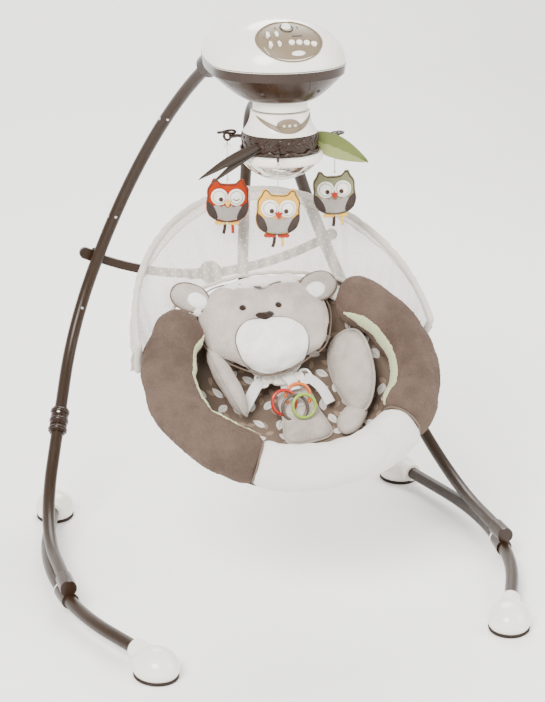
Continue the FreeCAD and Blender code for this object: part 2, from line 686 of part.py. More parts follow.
def turret_bell():
    """The bell that turns on the neck's spindle and drives the mobile."""
    waist = V((BELL_TOP_R + BELL_BOTTOM_R) / 2 - 4.0, 0, (BELL_TOP_Z + BELL_BOTTOM_Z) / 2)
    inner = SPINDLE_R + PIN_PLAY
    floor = SPINDLE_BOTTOM_Z - 0.5
    edges = [Part.LineSegment(V(0, 0, BELL_BOTTOM_Z), V(BELL_BOTTOM_R, 0, BELL_BOTTOM_Z)).toShape(),
             Part.Arc(V(BELL_BOTTOM_R, 0, BELL_BOTTOM_Z), waist, V(BELL_TOP_R, 0, BELL_TOP_Z)).toShape(),
             Part.LineSegment(V(BELL_TOP_R, 0, BELL_TOP_Z), V(inner, 0, BELL_TOP_Z)).toShape(),
             Part.LineSegment(V(inner, 0, BELL_TOP_Z), V(inner, 0, floor)).toShape(),
             Part.LineSegment(V(inner, 0, floor), V(0, 0, floor)).toShape(),
             Part.LineSegment(V(0, 0, floor), V(0, 0, BELL_BOTTOM_Z)).toShape()]
    bell = Part.Face(Part.Wire(edges)).revolve(V(0, 0, 0), Z_AXIS, 360)
    spindle = cylinder(MOBILE_SPINDLE_R, BELL_BOTTOM_Z - MOBILE_BOTTOM_Z, V(0, 0, MOBILE_BOTTOM_Z))
    bell = bell.fuse(spindle)
    pocket = selector_column(BUTTON_PLAY, -80, -SPINDLE_R - 12)
    return bell.cut([pocket, sweep(hanger_path(), HANGER_R)]).removeSplitter()


def selector_button():
    """The oval button on the bell's front, flush with a slight crown."""
    column = selector_column(0.0, -62.5, -SPINDLE_R - 18)
    return column


def seat_hanger():
    """The bent tube behind the seat, ending in the recline hub."""
    tube = pipe(hanger_path(), HANGER_R, TUBE_WALL)
    y, z = HANGER_ROUTE[-1]
    hub = cylinder(RECLINE_R, 2 * RECLINE_HALF, V(-RECLINE_HALF, y, z), X_AXIS)
    bore = cylinder(RECLINE_PIN_R + PIN_PLAY, 2 * RECLINE_HALF, V(-RECLINE_HALF, y, z), X_AXIS)
    return tube.fuse(hub).cut(bore).removeSplitter()


# ---------------------------------------------------------------- mobile

def turned(shape, angle):
    """Turn a piece about the mobile's axis."""
    shape.rotate(V(0, 0, 0), Z_AXIS, angle)
    return shape


def mobile_ring():
    """The brown drum with its three twigs and their loops."""
    height = MOBILE_TOP_Z - MOBILE_BOTTOM_Z
    drum = cylinder(MOBILE_R, height, V(0, 0, MOBILE_BOTTOM_Z))
    hollow = cylinder(MOBILE_R - 4, height - 5, V(0, 0, MOBILE_BOTTOM_Z))
    hub = cylinder(MOBILE_SPINDLE_R + 6, height, V(0, 0, MOBILE_BOTTOM_Z))
    drum = drum.cut(hollow).fuse(hub)
    for angle in TOY_ANGLES:
        points = [V(MOBILE_R - 2, 0, TWIG_Z - 4), V(MOBILE_R + 16, 0, TWIG_Z + 6), V(TWIG_REACH, 0, TWIG_Z)]
        twig = sweep(rounded_path(points, [25.0]), TWIG_R)
        ring = Part.makeTorus(LOOP_R, TWIG_R - 0.8, V(TWIG_REACH + LOOP_R, 0, TWIG_Z), Y_AXIS)
        drum = drum.fuse([turned(twig, angle), turned(ring, angle)])
    bore = cylinder(MOBILE_SPINDLE_R + PIN_PLAY, height, V(0, 0, MOBILE_BOTTOM_Z))
    return drum.cut(bore).removeSplitter()


def mobile_bezel():
    """The cream ring under the drum."""
    height = MOBILE_BOTTOM_Z - BEZEL_BOTTOM_Z
    ring = cylinder(BEZEL_R, height, V(0, 0, BEZEL_BOTTOM_Z))
    ring = ring.makeFillet(6.0, [e for e in ring.Edges if len(e.Vertexes) == 1])
    return ring.cut(cylinder(MIRROR_R - 4, height - 4, V(0, 0, BEZEL_BOTTOM_Z)))


def mobile_mirror():
    """The domed mirror that closes the mobile from below."""
    ball_r = (MIRROR_R ** 2 + MIRROR_DROP ** 2) / (2 * MIRROR_DROP)
    centre = V(0, 0, BEZEL_BOTTOM_Z - MIRROR_DROP + ball_r)
    cap = Part.makeSphere(ball_r, centre).cut(Part.makeSphere(ball_r - 2.0, centre))
    return cap.common(cylinder(MIRROR_R, 200.0, V(0, 0, BEZEL_BOTTOM_Z - 200)))


def toy_place(index):
    """Where a toy's string leaves its loop."""
    angle = math.radians(TOY_ANGLES[index])
    reach = TWIG_REACH + LOOP_R
    return V(reach * math.cos(angle), reach * math.sin(angle), TWIG_Z - LOOP_R - TWIG_R + 0.5)


def owl(index):
    """A flat padded owl with two ear tufts."""
    place = toy_place(index)
    top = TOY_TOP_Z[index]
    w, h = TOY_HALF_X, TOY_HEIGHT
    corners = [V(0, 0, -h * 0.08), V(w * 0.55, 0, -h * 0.04), V(w * 0.95, 0, 0), V(w, 0, -h * 0.3)]
    low = Part.Arc(corners[3], V(0, 0, -h), V(-w, 0, -h * 0.3)).toShape()
    flip = [V(-p.x, 0, p.z) for p in corners]
    edges = [Part.makeLine(corners[0], corners[1]), Part.makeLine(corners[1], corners[2]),
             Part.makeLine(corners[2], corners[3]), low, Part.makeLine(flip[3], flip[2]),
             Part.makeLine(flip[2], flip[1]), Part.makeLine(flip[1], flip[0])]
    body = Part.Face(Part.Wire(edges)).extrude(V(0, TOY_THICK, 0))
    body.translate(V(place.x, place.y - TOY_THICK / 2, top))
    return body


def toy_string(index):
    """The cord between a twig's loop and the top of its owl."""
    place = toy_place(index)
    low = TOY_TOP_Z[index] - TOY_HEIGHT * 0.08
    return cylinder(STRING_R, place.z - low, V(place.x, place.y, low))


# ---------------------------------------------------------------- seat

def roll(start, end, radius):
    """A stretch of the padded roll round the seat."""
    arc = ellipse_arc(ROLL_HALF_X, ROLL_HALF_S, V(0, ROLL_S, 0), start, end)
    return sweep(arc, radius)


def bowl(inset):
    """The seat's lower half-ovoid, drawn in by an even margin."""
    half = V(BOWL_HALF_X - inset, BOWL_HALF_S - inset, BOWL_DEPTH - inset)
    whole = ellipsoid(V(0, BOWL_S, BOWL_TOP), half)
    return whole.common(box(V(-400, -400, -300), V(400, 400, BOWL_TOP)))


def below_rolls(shape):
    """Trim a bowl to lie under the rolls, leaving it high at the back."""
    rim = -ROLL_R - SOFT_GAP
    open_side = box(V(-400, -400, rim), V(400, 110, 100))
    room = roll(30, ROLL_END + 4, ROLL_R + SOFT_GAP)
    return shape.cut([open_side, room, mirrored(room, LEFT)])


def seat_shell():
    """The moulded tray under the padding."""
    return below_rolls(bowl(0.0).cut(bowl(BOWL_WALL)))


def seat_liner():
    """The padded lining of the tray."""
    near = BOWL_WALL + 0.3
    return below_rolls(bowl(near).cut(bowl(near + LINER_THICK)))


def seat_frame():
    """The steel loop round the tray, with stays down to the recline hub."""
    centre = V(0, BOWL_S, LOOP_N)
    loop_x = BOWL_HALF_X
    loop_s = BOWL_HALF_S + 1
    halves = [sweep(ellipse_arc(loop_x, loop_s, centre, a, a + 180), LOOP_TUBE_R) for a in (0, 180)]
    frame = halves[0].fuse(halves[1])
    tip = FreeCAD.Rotation(X_AXIS, -SEAT_TILT)
    y, z = HANGER_ROUTE[-1]
    hub = tip.multVec(V(0, y, z) - SEAT_PLACE)
    for side in (LEFT, RIGHT):
        back = V(side * 90, BOWL_S + loop_s * math.sqrt(1 - (90 / loop_x) ** 2), LOOP_N)
        front = V(side * 90, BOWL_S - loop_s * math.sqrt(1 - (90 / loop_x) ** 2), LOOP_N)
        ear = V(side * STAY_X, hub.y, hub.z)
        rear_stay = Part.Wire([Part.makeLine(ear, back)])
        under = BOWL_TOP - BOWL_DEPTH - LOOP_TUBE_R - 10
        points = [ear, V(side * 60, 20, under), V(side * 84, front.y + 40, under + 24), front]
        front_stay = rounded_path(points, [80.0, 40.0])
        plate = cylinder(RECLINE_R, 12.0, V(side * STAY_X, hub.y, hub.z), X_AXIS)
        plate.translate(V(-6, 0, 0))
        frame = frame.fuse([sweep(rear_stay, LOOP_TUBE_R), sweep(front_stay, LOOP_TUBE_R), plate])
    pin_length = 2 * STAY_X
    pin = cylinder(RECLINE_PIN_R, pin_length, V(-STAY_X, hub.y, hub.z), X_AXIS)
    return frame.fuse(pin).removeSplitter()


def pad(centre, half, lean=0.0):
    """A loose pad in the tray, kept off the lining's rim and inner face."""
    shape = ellipsoid(V(0, 0, 0), half)
    shape.rotate(V(0, 0, 0), X_AXIS, lean)
    shape.translate(centre)
    inset = BOWL_WALL + LINER_THICK + SOFT_GAP
    room = ellipsoid(V(0, BOWL_S, BOWL_TOP), V(BOWL_HALF_X - inset, BOWL_HALF_S - inset, BOWL_DEPTH - inset))
    wall = box(V(-400, -400, -300), V(400, 400, BOWL_TOP + SOFT_GAP)).cut(room)
    return shape.cut(wall)


def canopy_hoop():
    """The thin hoop that holds the netting up behind the head."""
    arc = ellipse_arc(HOOP_HALF_X, HOOP_HALF_S, V(0, HOOP_S, HOOP_N), 0, 180)
    hoop = sweep(arc, HOOP_R)
    for side in (LEFT, RIGHT):
        low = LOOP_N - HOOP_DROP
        inner = BOWL_HALF_X * HOOP_SEAT + LOOP_TUBE_R + 1
        points = [V(side * HOOP_HALF_X, HOOP_S, HOOP_N), V(side * HOOP_HALF_X, HOOP_S, low), V(side * inner, HOOP_S, low)]
        hoop = hoop.fuse(sweep(rounded_path(points, [HOOP_BEND]), HOOP_R))
    return hoop.removeSplitter()


def canopy_net():
    """The netting, from the hoop down to the back of the seat."""
    margin = HOOP_R + 1
    outer = ellipse_arc(HOOP_HALF_X - margin, HOOP_HALF_S - margin, V(0, HOOP_S, HOOP_N), NET_END, 180 - NET_END)
    inner = ellipse_arc(HOOP_HALF_X - NET_SIDE_GAP, NET_BACK_S, V(0, HOOP_S, BOWL_TOP + NET_SIDE_GAP), NET_END,
                        180 - NET_END)
    face = Part.makeRuledSurface(outer, inner)
    return face.extrude(V(0, 0, -NET_THICK))


def toy_ring(x, s, radius, rise):
    """One plastic ring of the bunch on the crotch strap."""
    axis = FreeCAD.Rotation(X_AXIS, TOY_RING_LEAN).multVec(Z_AXIS)
    centre = V(x, s, TOY_RING_N) + axis * rise
    return Part.makeTorus(radius, TOY_RING_TUBE_R, centre, axis)


# ---------------------------------------------------------------- build

def build_frame():
    upper, lower = leg_tubes()
    rail_tube = rail()
    clamp = saddle()
    sleeve = collar()
    route = rail_route()
    front = foot(route[0], route[1])
    rear = foot(route[-1], route[-2])
    for side, word in ((LEFT, "left"), (RIGHT, "right")):
        for name, shape in (("leg_upper", upper), ("leg_lower", lower), ("rail", rail_tube), ("saddle", clamp),
                            ("collar", sleeve), ("front_foot", front), ("rear_foot", rear)):
            save("%s_%s" % (word, name), mirrored(shape, side))
    left_half, right_half = brace_halves()
    save("left_brace", left_half)
    save("right_brace", right_half)


def build_head():
    buttons = head_buttons()
    holes = [hole for name, cap, hole in buttons]
    save("head_top_shell", top_shell())
    save("head_lower_shell", lower_shell())
    save("control_panel", control_panel(holes))
    for name, cap, hole in buttons:
        save(name, cap)
    save("left_fold_pin", fold_pin(LEFT))
    save("right_fold_pin", fold_pin(RIGHT))
    save("swing_axle", swing_axle())
    save("swing_motor", swing_motor())


def build_swing():
    save("swing_neck", swing_neck())
    save("turret_bell", turret_bell())
    save("selector_button", selector_button())
    save("seat_hanger", seat_hanger())
    save("mobile_ring", mobile_ring())
    save("mobile_bezel", mobile_bezel())
    save("mobile_mirror", mobile_mirror())
    for index, name in enumerate(("yellow", "red", "green")):
        save("owl_%s" % name, owl(index))
        save("string_%s" % name, toy_string(index))


def build_seat():
    save("seat_frame", tipped(seat_frame()))
    save("seat_shell", tipped(seat_shell()))
    save("seat_liner", tipped(seat_liner()))
    save("left_roll", tipped(roll(180 - ROLL_END, 360 + FRONT_FROM - 0.3, ROLL_R)))
    save("front_roll", tipped(roll(FRONT_FROM, FRONT_TO, ROLL_R)))
    save("right_roll", tipped(roll(FRONT_TO + 0.3, ROLL_END, ROLL_R)))
    save("head_pad", tipped(pad(*HEAD_PAD, HEAD_PAD_LEAN)))
    save("left_support", tipped(pad(*LEFT_SUPPORT)))
    save("right_support", tipped(pad(*RIGHT_SUPPORT)))
    save("crotch_pad", tipped(pad(*CROTCH_PAD)))
    save("buckle", tipped(box(V(-30, -4, -92), V(28, 26, -74))))
    for index, place in enumerate(TOY_RINGS):
        save("toy_ring_%d" % (index + 1), tipped(toy_ring(*place)))
    save("canopy_hoop", tipped(canopy_hoop()))
    save("canopy_net", tipped(canopy_net()))


def main():
    os.makedirs("parts", exist_ok=True)
    build_frame()
    build_head()
    build_swing()
    build_seat()


main()
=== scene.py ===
"""Looks for a baby's cradle swing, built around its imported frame.

Laid out as an add-on: sizes and colours are properties, each group of pieces
is one operator, and main() calls them in order. Metres, +Z up, seat faces -Y.
"""
import math

import bmesh
import bpy
import numpy as np
from bpy.props import FloatProperty, FloatVectorProperty, IntProperty, PointerProperty
from mathutils import Matrix, Vector, noise
from mathutils.bvhtree import BVHTree


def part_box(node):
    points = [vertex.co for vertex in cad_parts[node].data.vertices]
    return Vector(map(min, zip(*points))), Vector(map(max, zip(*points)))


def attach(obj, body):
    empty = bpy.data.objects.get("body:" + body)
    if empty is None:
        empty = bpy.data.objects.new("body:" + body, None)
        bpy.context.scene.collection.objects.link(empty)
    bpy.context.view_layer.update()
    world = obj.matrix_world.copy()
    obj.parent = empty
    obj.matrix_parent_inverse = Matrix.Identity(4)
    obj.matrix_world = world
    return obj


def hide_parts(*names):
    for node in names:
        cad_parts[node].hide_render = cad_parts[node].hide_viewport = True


bl_info = {
    "name": "Cradle swing looks",
    "version": (1, 0, 0),
    "blender": (4, 5, 0),
    "location": "View3D > Sidebar > Swing",
    "description": "Fabric, trim and finishes for a baby's cradle swing",
    "category": "Object",
}

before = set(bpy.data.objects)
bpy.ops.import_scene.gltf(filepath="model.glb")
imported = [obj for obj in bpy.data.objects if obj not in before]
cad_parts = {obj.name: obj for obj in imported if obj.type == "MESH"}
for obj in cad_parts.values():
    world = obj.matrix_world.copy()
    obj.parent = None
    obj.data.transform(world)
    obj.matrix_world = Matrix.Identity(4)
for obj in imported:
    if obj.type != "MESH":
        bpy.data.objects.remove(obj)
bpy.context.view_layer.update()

# ---- places taken from the frame ----
SEAT_TILT = math.radians(40.0)
ROLL_RADIUS = 0.042
ROLL_HALF_X = 0.238
ROLL_HALF_S = 0.202
ROLL_S = -0.010
BOWL_HALF_X = 0.236
BOWL_HALF_S = 0.215
BOWL_DEPTH = 0.105
BOWL_S = -0.005
BOWL_TOP = -0.020
LINER_INSET = 0.022
HOOP_HALF_X = 0.284
HOOP_HALF_S = 0.334
HOOP_S = 0.060
HOOP_N = 0.027
FOLD_X, FOLD_Z = 0.056, 0.985
LEG_SPLAY = math.tan(math.radians(22.3))

FRONT_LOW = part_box("front_roll")[0]
SEAT_AT = Vector((0.0, FRONT_LOW.y + (ROLL_HALF_S - ROLL_S) * math.cos(SEAT_TILT) + ROLL_RADIUS,
                  FRONT_LOW.z + (ROLL_HALF_S - ROLL_S) * math.sin(SEAT_TILT) + ROLL_RADIUS))
SEAT_TURN = Matrix.Rotation(SEAT_TILT, 4, "X")
SWING_Y = (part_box("swing_neck")[0].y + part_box("swing_neck")[1].y) / 2


def seat_point(x, s, n):
    """A place in the level seat drawing, as it hangs."""
    return SEAT_AT + SEAT_TURN @ Vector((x, s, n))


def round_angles(count):
    """Evenly spaced angles round a full turn."""
    return [2.0 * math.pi * k / count for k in range(count)]


def level_way(angle):
    """A level unit step at an angle from +X."""
    return Vector((math.cos(angle), math.sin(angle), 0.0))


# ---------------------------------------------------------------- properties

def colour(name, text, value):
    return FloatVectorProperty(name=name, description=text, subtype="COLOR", size=3, min=0.0, max=1.0,
                               default=value)


def length(name, text, value):
    return FloatProperty(name=name, description=text, subtype="DISTANCE", unit="LENGTH", min=0.0,
                         default=value)


class SwingColours(bpy.types.PropertyGroup):
    """Colours that a user would change."""
    frame_brown: colour("Frame brown", "Powder coat on the tubes", (0.024, 0.0115, 0.0045))
    gloss_brown: colour("Gloss brown", "Brown plastic of the head, collars and mobile",
                        (0.021, 0.0090, 0.0038))
    cream: colour("Cream", "Warm white plastic", (0.86, 0.825, 0.75))
    taupe: colour("Taupe", "Control panel and selector", (0.170, 0.130, 0.082))
    rubber: colour("Rubber", "Foot pads", (0.020, 0.012, 0.008))
    plush: colour("Plush", "Brown plush of the seat's rolls", (0.084, 0.058, 0.046))
    bear: colour("Bear", "Grey-beige plush of the head pad", (0.385, 0.340, 0.305))
    white_plush: colour("White plush", "Bear's muzzle and inner ears", (0.86, 0.83, 0.79))
    cotton: colour("Cotton", "Warm white cotton", (0.86, 0.83, 0.78))
    trim: colour("Trim", "Pale green trim inside the rolls", (0.52, 0.56, 0.34))
    print_brown: colour("Print brown", "Leaves printed on the lining", (0.150, 0.108, 0.080))
    net: colour("Netting", "Sheer canopy", (0.70, 0.655, 0.59))
    webbing: colour("Webbing", "Harness straps", (0.85, 0.84, 0.82))
    owl_yellow: colour("Yellow owl", "Plush", (0.60, 0.335, 0.055))
    owl_red: colour("Red owl", "Plush", (0.31, 0.030, 0.006))
    owl_green: colour("Green owl", "Plush", (0.205, 0.205, 0.115))
    ring_red: colour("Red ring", "Toy ring", (0.42, 0.016, 0.006))
    ring_orange: colour("Orange ring", "Toy ring", (0.66, 0.135, 0.012))
    ring_grey: colour("Grey ring", "Toy ring", (0.085, 0.060, 0.045))
    ring_green: colour("Green ring", "Toy ring", (0.25, 0.38, 0.045))


class SwingSizes(bpy.types.PropertyGroup):
    """Sizes that a user would change."""
    plush_pile: length("Plush pile", "Height of the plush's tufts", 0.0022)
    net_pitch: length("Net dots", "Distance between the netting's woven dots", 0.0125)
    weave: length("Weave", "Distance between threads", 0.0011)
    leaf: length("Leaf", "Length of a printed leaf", 0.034)
    stitch: length("Stitch", "Length of one stitch", 0.0030)
    screw: length("Screw", "Radius of a screw head", 0.0042)
    rib_count: IntProperty(name="Mobile leaves", description="Leaves embossed round the mobile", min=3,
                           max=60, default=20)


def colours():
    return bpy.context.scene.swing_colours


def sizes():
    return bpy.context.scene.swing_sizes


# ---------------------------------------------------------------- shader maths

class Value:
    """A number that varies over a surface: arithmetic on it adds Math nodes."""

    def __init__(self, tree, socket):
        self.tree = tree
        self.socket = socket

    def math(self, operation, *others):
        node = self.tree.nodes.new("ShaderNodeMath")
        node.operation = operation
        for index, item in enumerate((self,) + others):
            if isinstance(item, Value):
                self.tree.links.new(item.socket, node.inputs[index])
            else:
                node.inputs[index].default_value = item
        return Value(self.tree, node.outputs[0])

    def flipped(self, operation, other):
        node = self.tree.nodes.new("ShaderNodeMath")
        node.operation = operation
        node.inputs[0].default_value = other
        self.tree.links.new(self.socket, node.inputs[1])
        return Value(self.tree, node.outputs[0])

    def __add__(self, other):
        return self.math("ADD", other)

    def __radd__(self, other):
        return self.flipped("ADD", other)

    def __sub__(self, other):
        return self.math("SUBTRACT", other)

    def __rsub__(self, other):
        return self.flipped("SUBTRACT", other)

    def __mul__(self, other):
        return self.math("MULTIPLY", other)

    def __rmul__(self, other):
        return self.flipped("MULTIPLY", other)

    def __truediv__(self, other):
        return self.math("DIVIDE", other)

    def __rtruediv__(self, other):
        return self.flipped("DIVIDE", other)

    def __lt__(self, other):
        return self.math("LESS_THAN", other)

    def __gt__(self, other):
        return self.math("GREATER_THAN", other)

    def __pow__(self, other):
        return self.math("POWER", other)

    def __abs__(self):
        return self.math("ABSOLUTE")

    def sine(self):
        return self.math("SINE")

    def cosine(self):
        return self.math("COSINE")

    def least(self, other):
        return self.math("MINIMUM", other)

    def most(self, other):
        return self.math("MAXIMUM", other)

    def step(self, low, high):
        """Zero below low, one above high, smooth between."""
        node = self.tree.nodes.new("ShaderNodeMapRange")
        node.interpolation_type = "SMOOTHSTEP"
        node.clamp = True
        self.tree.links.new(self.socket, node.inputs["Value"])
        node.inputs["From Min"].default_value = low
        node.inputs["From Max"].default_value = high
        return Value(self.tree, node.outputs["Result"])


class Finish:
    """One material, with its nodes made through one method."""

    def __init__(self, name, base, roughness, **fixed):
        self.material = bpy.data.materials.new(name)
        self.material.use_nodes = True
        self.tree = self.material.node_tree
        self.shader = self.tree.nodes["Principled BSDF"]
        self.shader.inputs["Base Color"].default_value = (*base, 1.0)
        self.shader.inputs["Roughness"].default_value = roughness
        for socket, number in fixed.items():
            self.shader.inputs[socket.replace("_", " ")].default_value = number
        self.place = self.make("ShaderNodeTexCoord").outputs["Object"]

    def make(self, kind, settings=None, values=None):
        """One node: its settings first, then its sockets' values or links."""
        node = self.tree.nodes.new(kind)
        for key, setting in (settings or {}).items():
            setattr(node, key, setting)
        for key, item in (values or {}).items():
            self.feed(node.inputs[key], item)
        return node

    def feed(self, socket, item):
        if isinstance(item, Value):
            item = item.socket
        if isinstance(item, bpy.types.NodeSocket):
            self.tree.links.new(item, socket)
        elif socket.type == "RGBA" and len(item) == 3:
            socket.default_value = (*item, 1.0)
        else:
            socket.default_value = item

    def value(self, socket):
        return Value(self.tree, socket)

    def mapped(self, turn=(0.0, 0.0, 0.0), scale=(1.0, 1.0, 1.0), shift=(0.0, 0.0, 0.0)):
        """Object coordinates, shifted, turned and scaled, as a vector."""
        node = self.make("ShaderNodeMapping", {"vector_type": "POINT"},
                         {"Vector": self.place, "Location": shift, "Rotation": turn, "Scale": scale})
        return node.outputs["Vector"]

    def noise(self, pitch, detail=3.0, rough=0.55, vector=None):
        node = self.make("ShaderNodeTexNoise", None, {"Vector": vector or self.place, "Scale": 1.0 / pitch,
                                                      "Detail": detail, "Roughness": rough})
        return self.value(node.outputs["Fac"])

    def cells(self, pitch, vector=None, feature="F1", random=1.0):
        node = self.make("ShaderNodeTexVoronoi", {"feature": feature},
                         {"Vector": vector or self.place, "Scale": 1.0 / pitch, "Randomness": random})
        return node

    def axes(self, vector):
        node = self.make("ShaderNodeSeparateXYZ", None, {0: vector})
        return [self.value(node.outputs[index]) for index in range(3)]

    def blend(self, factor, first, second, mode="MIX"):
        node = self.make("ShaderNodeMix", {"data_type": "RGBA", "blend_type": mode},
                         {0: factor, 6: first, 7: second})
        return node.outputs[2]

    def paint(self, result):
        self.feed(self.shader.inputs["Base Color"], result)

    def rough(self, result):
        self.feed(self.shader.inputs["Roughness"], result)

    def bump(self, height, depth, strength=1.0):
        node = self.make("ShaderNodeBump", None, {"Height": height, "Distance": depth, "Strength": strength})
        self.feed(self.shader.inputs["Normal"], node.outputs["Normal"])


def shade(rgb, factor):
    """The same colour, darker or lighter."""
    return tuple(min(1.0, channel * factor) for channel in rgb)


# ---------------------------------------------------------------- finishes

def powder_coat(name, base):
    """Satin paint on steel tube, with a fine orange peel and faint scuffs."""
    made = Finish(name, base, 0.34, Specular_IOR_Level=0.32)
    peel = made.noise(0.0022, 2.0)
    scuffs = made.noise(0.035, 5.0, 0.7).step(0.55, 0.75)
    cloud = made.noise(0.11, 3.0)
    made.paint(made.blend(cloud, shade(base, 0.82), made.blend(scuffs * 0.35, base, shade(base, 1.7))))
    made.rough(peel * 0.08 + scuffs * 0.14 + 0.27)
    made.bump(peel, 0.00012)
    return made.material


def moulded(name, base, roughness=0.24, grain=0.0012, depth=0.00006, specular=0.5, coat=0.0):
    """Moulded plastic, with slight flow marks, and a little dust in the gloss."""
    made = Finish(name, base, roughness, Specular_IOR_Level=specular, Coat_Weight=coat, Coat_Roughness=0.08)
    flow = made.noise(0.09, 3.0)
    dust = made.noise(0.012, 6.0, 0.75).step(0.52, 0.8)
    fine = made.noise(grain, 2.0)
    tinted = made.blend(flow, shade(base, 0.93), shade(base, 1.04))
    made.paint(made.blend(dust * 0.10, tinted, shade(base, 1.6)))
    made.rough(dust * 0.16 + fine * 0.05 + (roughness - 0.03))
    made.bump(fine * 0.7 + flow * 0.3, depth)
    return made.material


def rubbery(name, base):
    made = Finish(name, base, 0.78, Specular_IOR_Level=0.3)
    grit = made.noise(0.0016, 4.0, 0.7)
    made.paint(made.blend(grit, shade(base, 0.7), shade(base, 1.5)))
    made.bump(grit, 0.0003)
    return made.material


def plated(name):
    """Zinc plate with fine turning marks."""
    made = Finish(name, (0.56, 0.55, 0.53), 0.32, Metallic=1.0)
    x, _, z = made.axes(made.place)
    marks = ((z * 5200.0).sine() + (x * 4100.0).sine()) * 0.25 + 0.5
    haze = made.noise(0.02, 4.0)
    made.paint(made.blend(haze, (0.47, 0.46, 0.44), (0.66, 0.65, 0.62)))
    made.rough(haze * 0.2 + marks * 0.06 + 0.2)
    made.bump(marks, 0.00003)
    return made.material


def mirrored_plastic(name):
    """Vacuum-metallised plastic, very slightly wavy, with fine smears."""
    made = Finish(name, (0.80, 0.80, 0.80), 0.06, Metallic=1.0)
    wave = made.noise(0.045, 1.0)
    smear = made.noise(0.018, 5.0, 0.7).step(0.5, 0.75)
    made.paint(made.blend(smear, (0.83, 0.82, 0.80), (0.70, 0.685, 0.66)))
    made.rough(smear * 0.10 + 0.045)
    made.bump(wave, 0.0004)
    return made.material


def plush(name, base, pile=0.0022, lay=0.65, sheen=0.55):
    """Deep pile with painted shade between its tufts and a painted sheen where it's brushed."""
    made = Finish(name, base, 0.95, Specular_IOR_Level=0.12, Sheen_Weight=sheen, Sheen_Roughness=0.5,
                  Sheen_Tint=(*shade(base, 1.9), 1.0))
    tufts = made.value(made.cells(pile * 1.5, random=0.95).outputs["Distance"])
    brushed = made.noise(0.030, 4.0, 0.6)
    swirl = made.noise(0.009, 3.0, 0.6)
    strands = made.noise(pile * 0.45, 3.0, 0.7)
    # painted shade: darker in the gaps between tufts, lighter on their tops
    tuft_painted_shade = made.blend(tufts.step(0.15, 0.95), shade(base, 1.12), shade(base, 0.60))
    wide = made.noise(0.085, 2.0, 0.5)
    # painted sheen: brushed patches of pile paler or darker, as light catches the nap
    nap_painted_sheen = made.blend((brushed * 0.45 + wide * 0.55).step(0.38, 0.64), shade(base, 0.66), shade(base, 1.48))
    mixed = made.blend(lay, tuft_painted_shade, nap_painted_sheen)
    made.paint(made.blend(strands * 0.5, mixed, shade(base, 1.45), "MIX"))
    made.bump((1.0 - tufts) * 0.55 + strands * 0.3 + swirl * 0.5, pile * 0.9)
    return made.material


def woven(name, base, pitch):
    """Plain weave, each thread a rounded ridge, over and under its neighbours."""
    made = Finish(name, base, 0.86, Specular_IOR_Level=0.2, Sheen_Weight=0.25, Sheen_Roughness=0.4)
    x, y, z = made.axes(made.mapped(turn=(-SEAT_TILT, 0.0, 0.0)))
    turns = 2.0 * math.pi / pitch
    warp = (x * turns).sine()
    weft = (y * turns + z * turns * 0.6).sine()
    threads = warp * weft * 0.5 + 0.5
    slub = made.noise(pitch * 6.0, 4.0, 0.7)
    cloud = made.noise(0.05, 3.0)
    tone = made.blend(threads, shade(base, 0.80), shade(base, 1.05))
    tone = made.blend(slub * 0.25, tone, shade(base, 0.72))
    made.paint(made.blend(cloud * 0.35, tone, shade(base, 0.90)))
    made.bump(threads * 0.7 + slub * 0.5, pitch * 0.35)
    return made.material


def leaf_mask(made, plane, pitch, slim, offset):
    """Scattered leaves, one in each cell at its own angle: blade, and its mid-rib."""
    moved = made.make("ShaderNodeVectorMath", {"operation": "ADD"}, {0: plane, 1: offset}).outputs[0]
    cell = made.make("ShaderNodeTexVoronoi", {"voronoi_dimensions": "2D", "feature": "F1"},
                     {"Vector": moved, "Scale": 1.0 / pitch, "Randomness": 0.55})
    scaled = made.make("ShaderNodeVectorMath", {"operation": "SCALE"}, {0: moved, 3: 1.0 / pitch}).outputs[0]
    centre = made.make("ShaderNodeVectorMath", {"operation": "SCALE"},
                       {0: cell.outputs["Position"], 3: 1.0 / pitch}).outputs[0]
    local = made.make("ShaderNodeVectorMath", {"operation": "SUBTRACT"}, {0: scaled, 1: centre}).outputs[0]
    x, y, _ = made.axes(local)
    red, green, _ = made.axes(cell.outputs["Color"])
    angle = red * (2.0 * math.pi)
    along = x * angle.cosine() + y * angle.sine()
    across = y * angle.cosine() - x * angle.sine()
    reach = along / 0.40
    width = (1.0 - reach * reach).most(0.0) * slim * (1.15 - reach * 0.25)
    blade = (width - abs(across)).step(0.0, 0.012)
    rib = (0.012 - abs(across)).step(0.0, 0.006) * blade
    veins = ((along * 70.0 + abs(across) * 95.0).sine()).step(0.55, 0.9) * blade
    return blade, rib, veins, green


def leaf_print(name, base, ink, pitch, leaf):
    """Taupe cotton printed with pale leaves."""
    made = Finish(name, base, 0.88, Specular_IOR_Level=0.18, Sheen_Weight=0.2, Sheen_Roughness=0.4)
    plane = made.mapped(turn=(-SEAT_TILT, 0.0, 0.0))
    x, y, _ = made.axes(plane)
    turns = 2.0 * math.pi / pitch
    threads = (x * turns).sine() * (y * turns).sine() * 0.5 + 0.5
    ground = made.blend(threads * 0.5, ink, shade(ink, 0.80))
    first, rib, veins, chance = leaf_mask(made, plane, leaf, 0.185, (0.0, 0.0, 0.0))
    second, low_rib, _, other = leaf_mask(made, plane, leaf * 0.7, 0.16, (0.41, 0.23, 0.0))
    pale = made.blend(second * (other > 0.25) * 0.8, ground, shade(ink, 2.2))
    pale = made.blend(low_rib * (other > 0.25), pale, ink)
    inked = made.blend(first * (chance > 0.15), pale, base)
    inked = made.blend((rib + veins * 0.45).least(1.0) * (chance > 0.15), inked, shade(ink, 1.3))
    soft = made.noise(0.06, 3.0)
    made.paint(made.blend(soft * 0.3, inked, shade(ink, 1.1)))
    made.bump(threads * 0.5 + made.noise(0.004, 4.0) * 0.8, 0.0005)
    return made.material


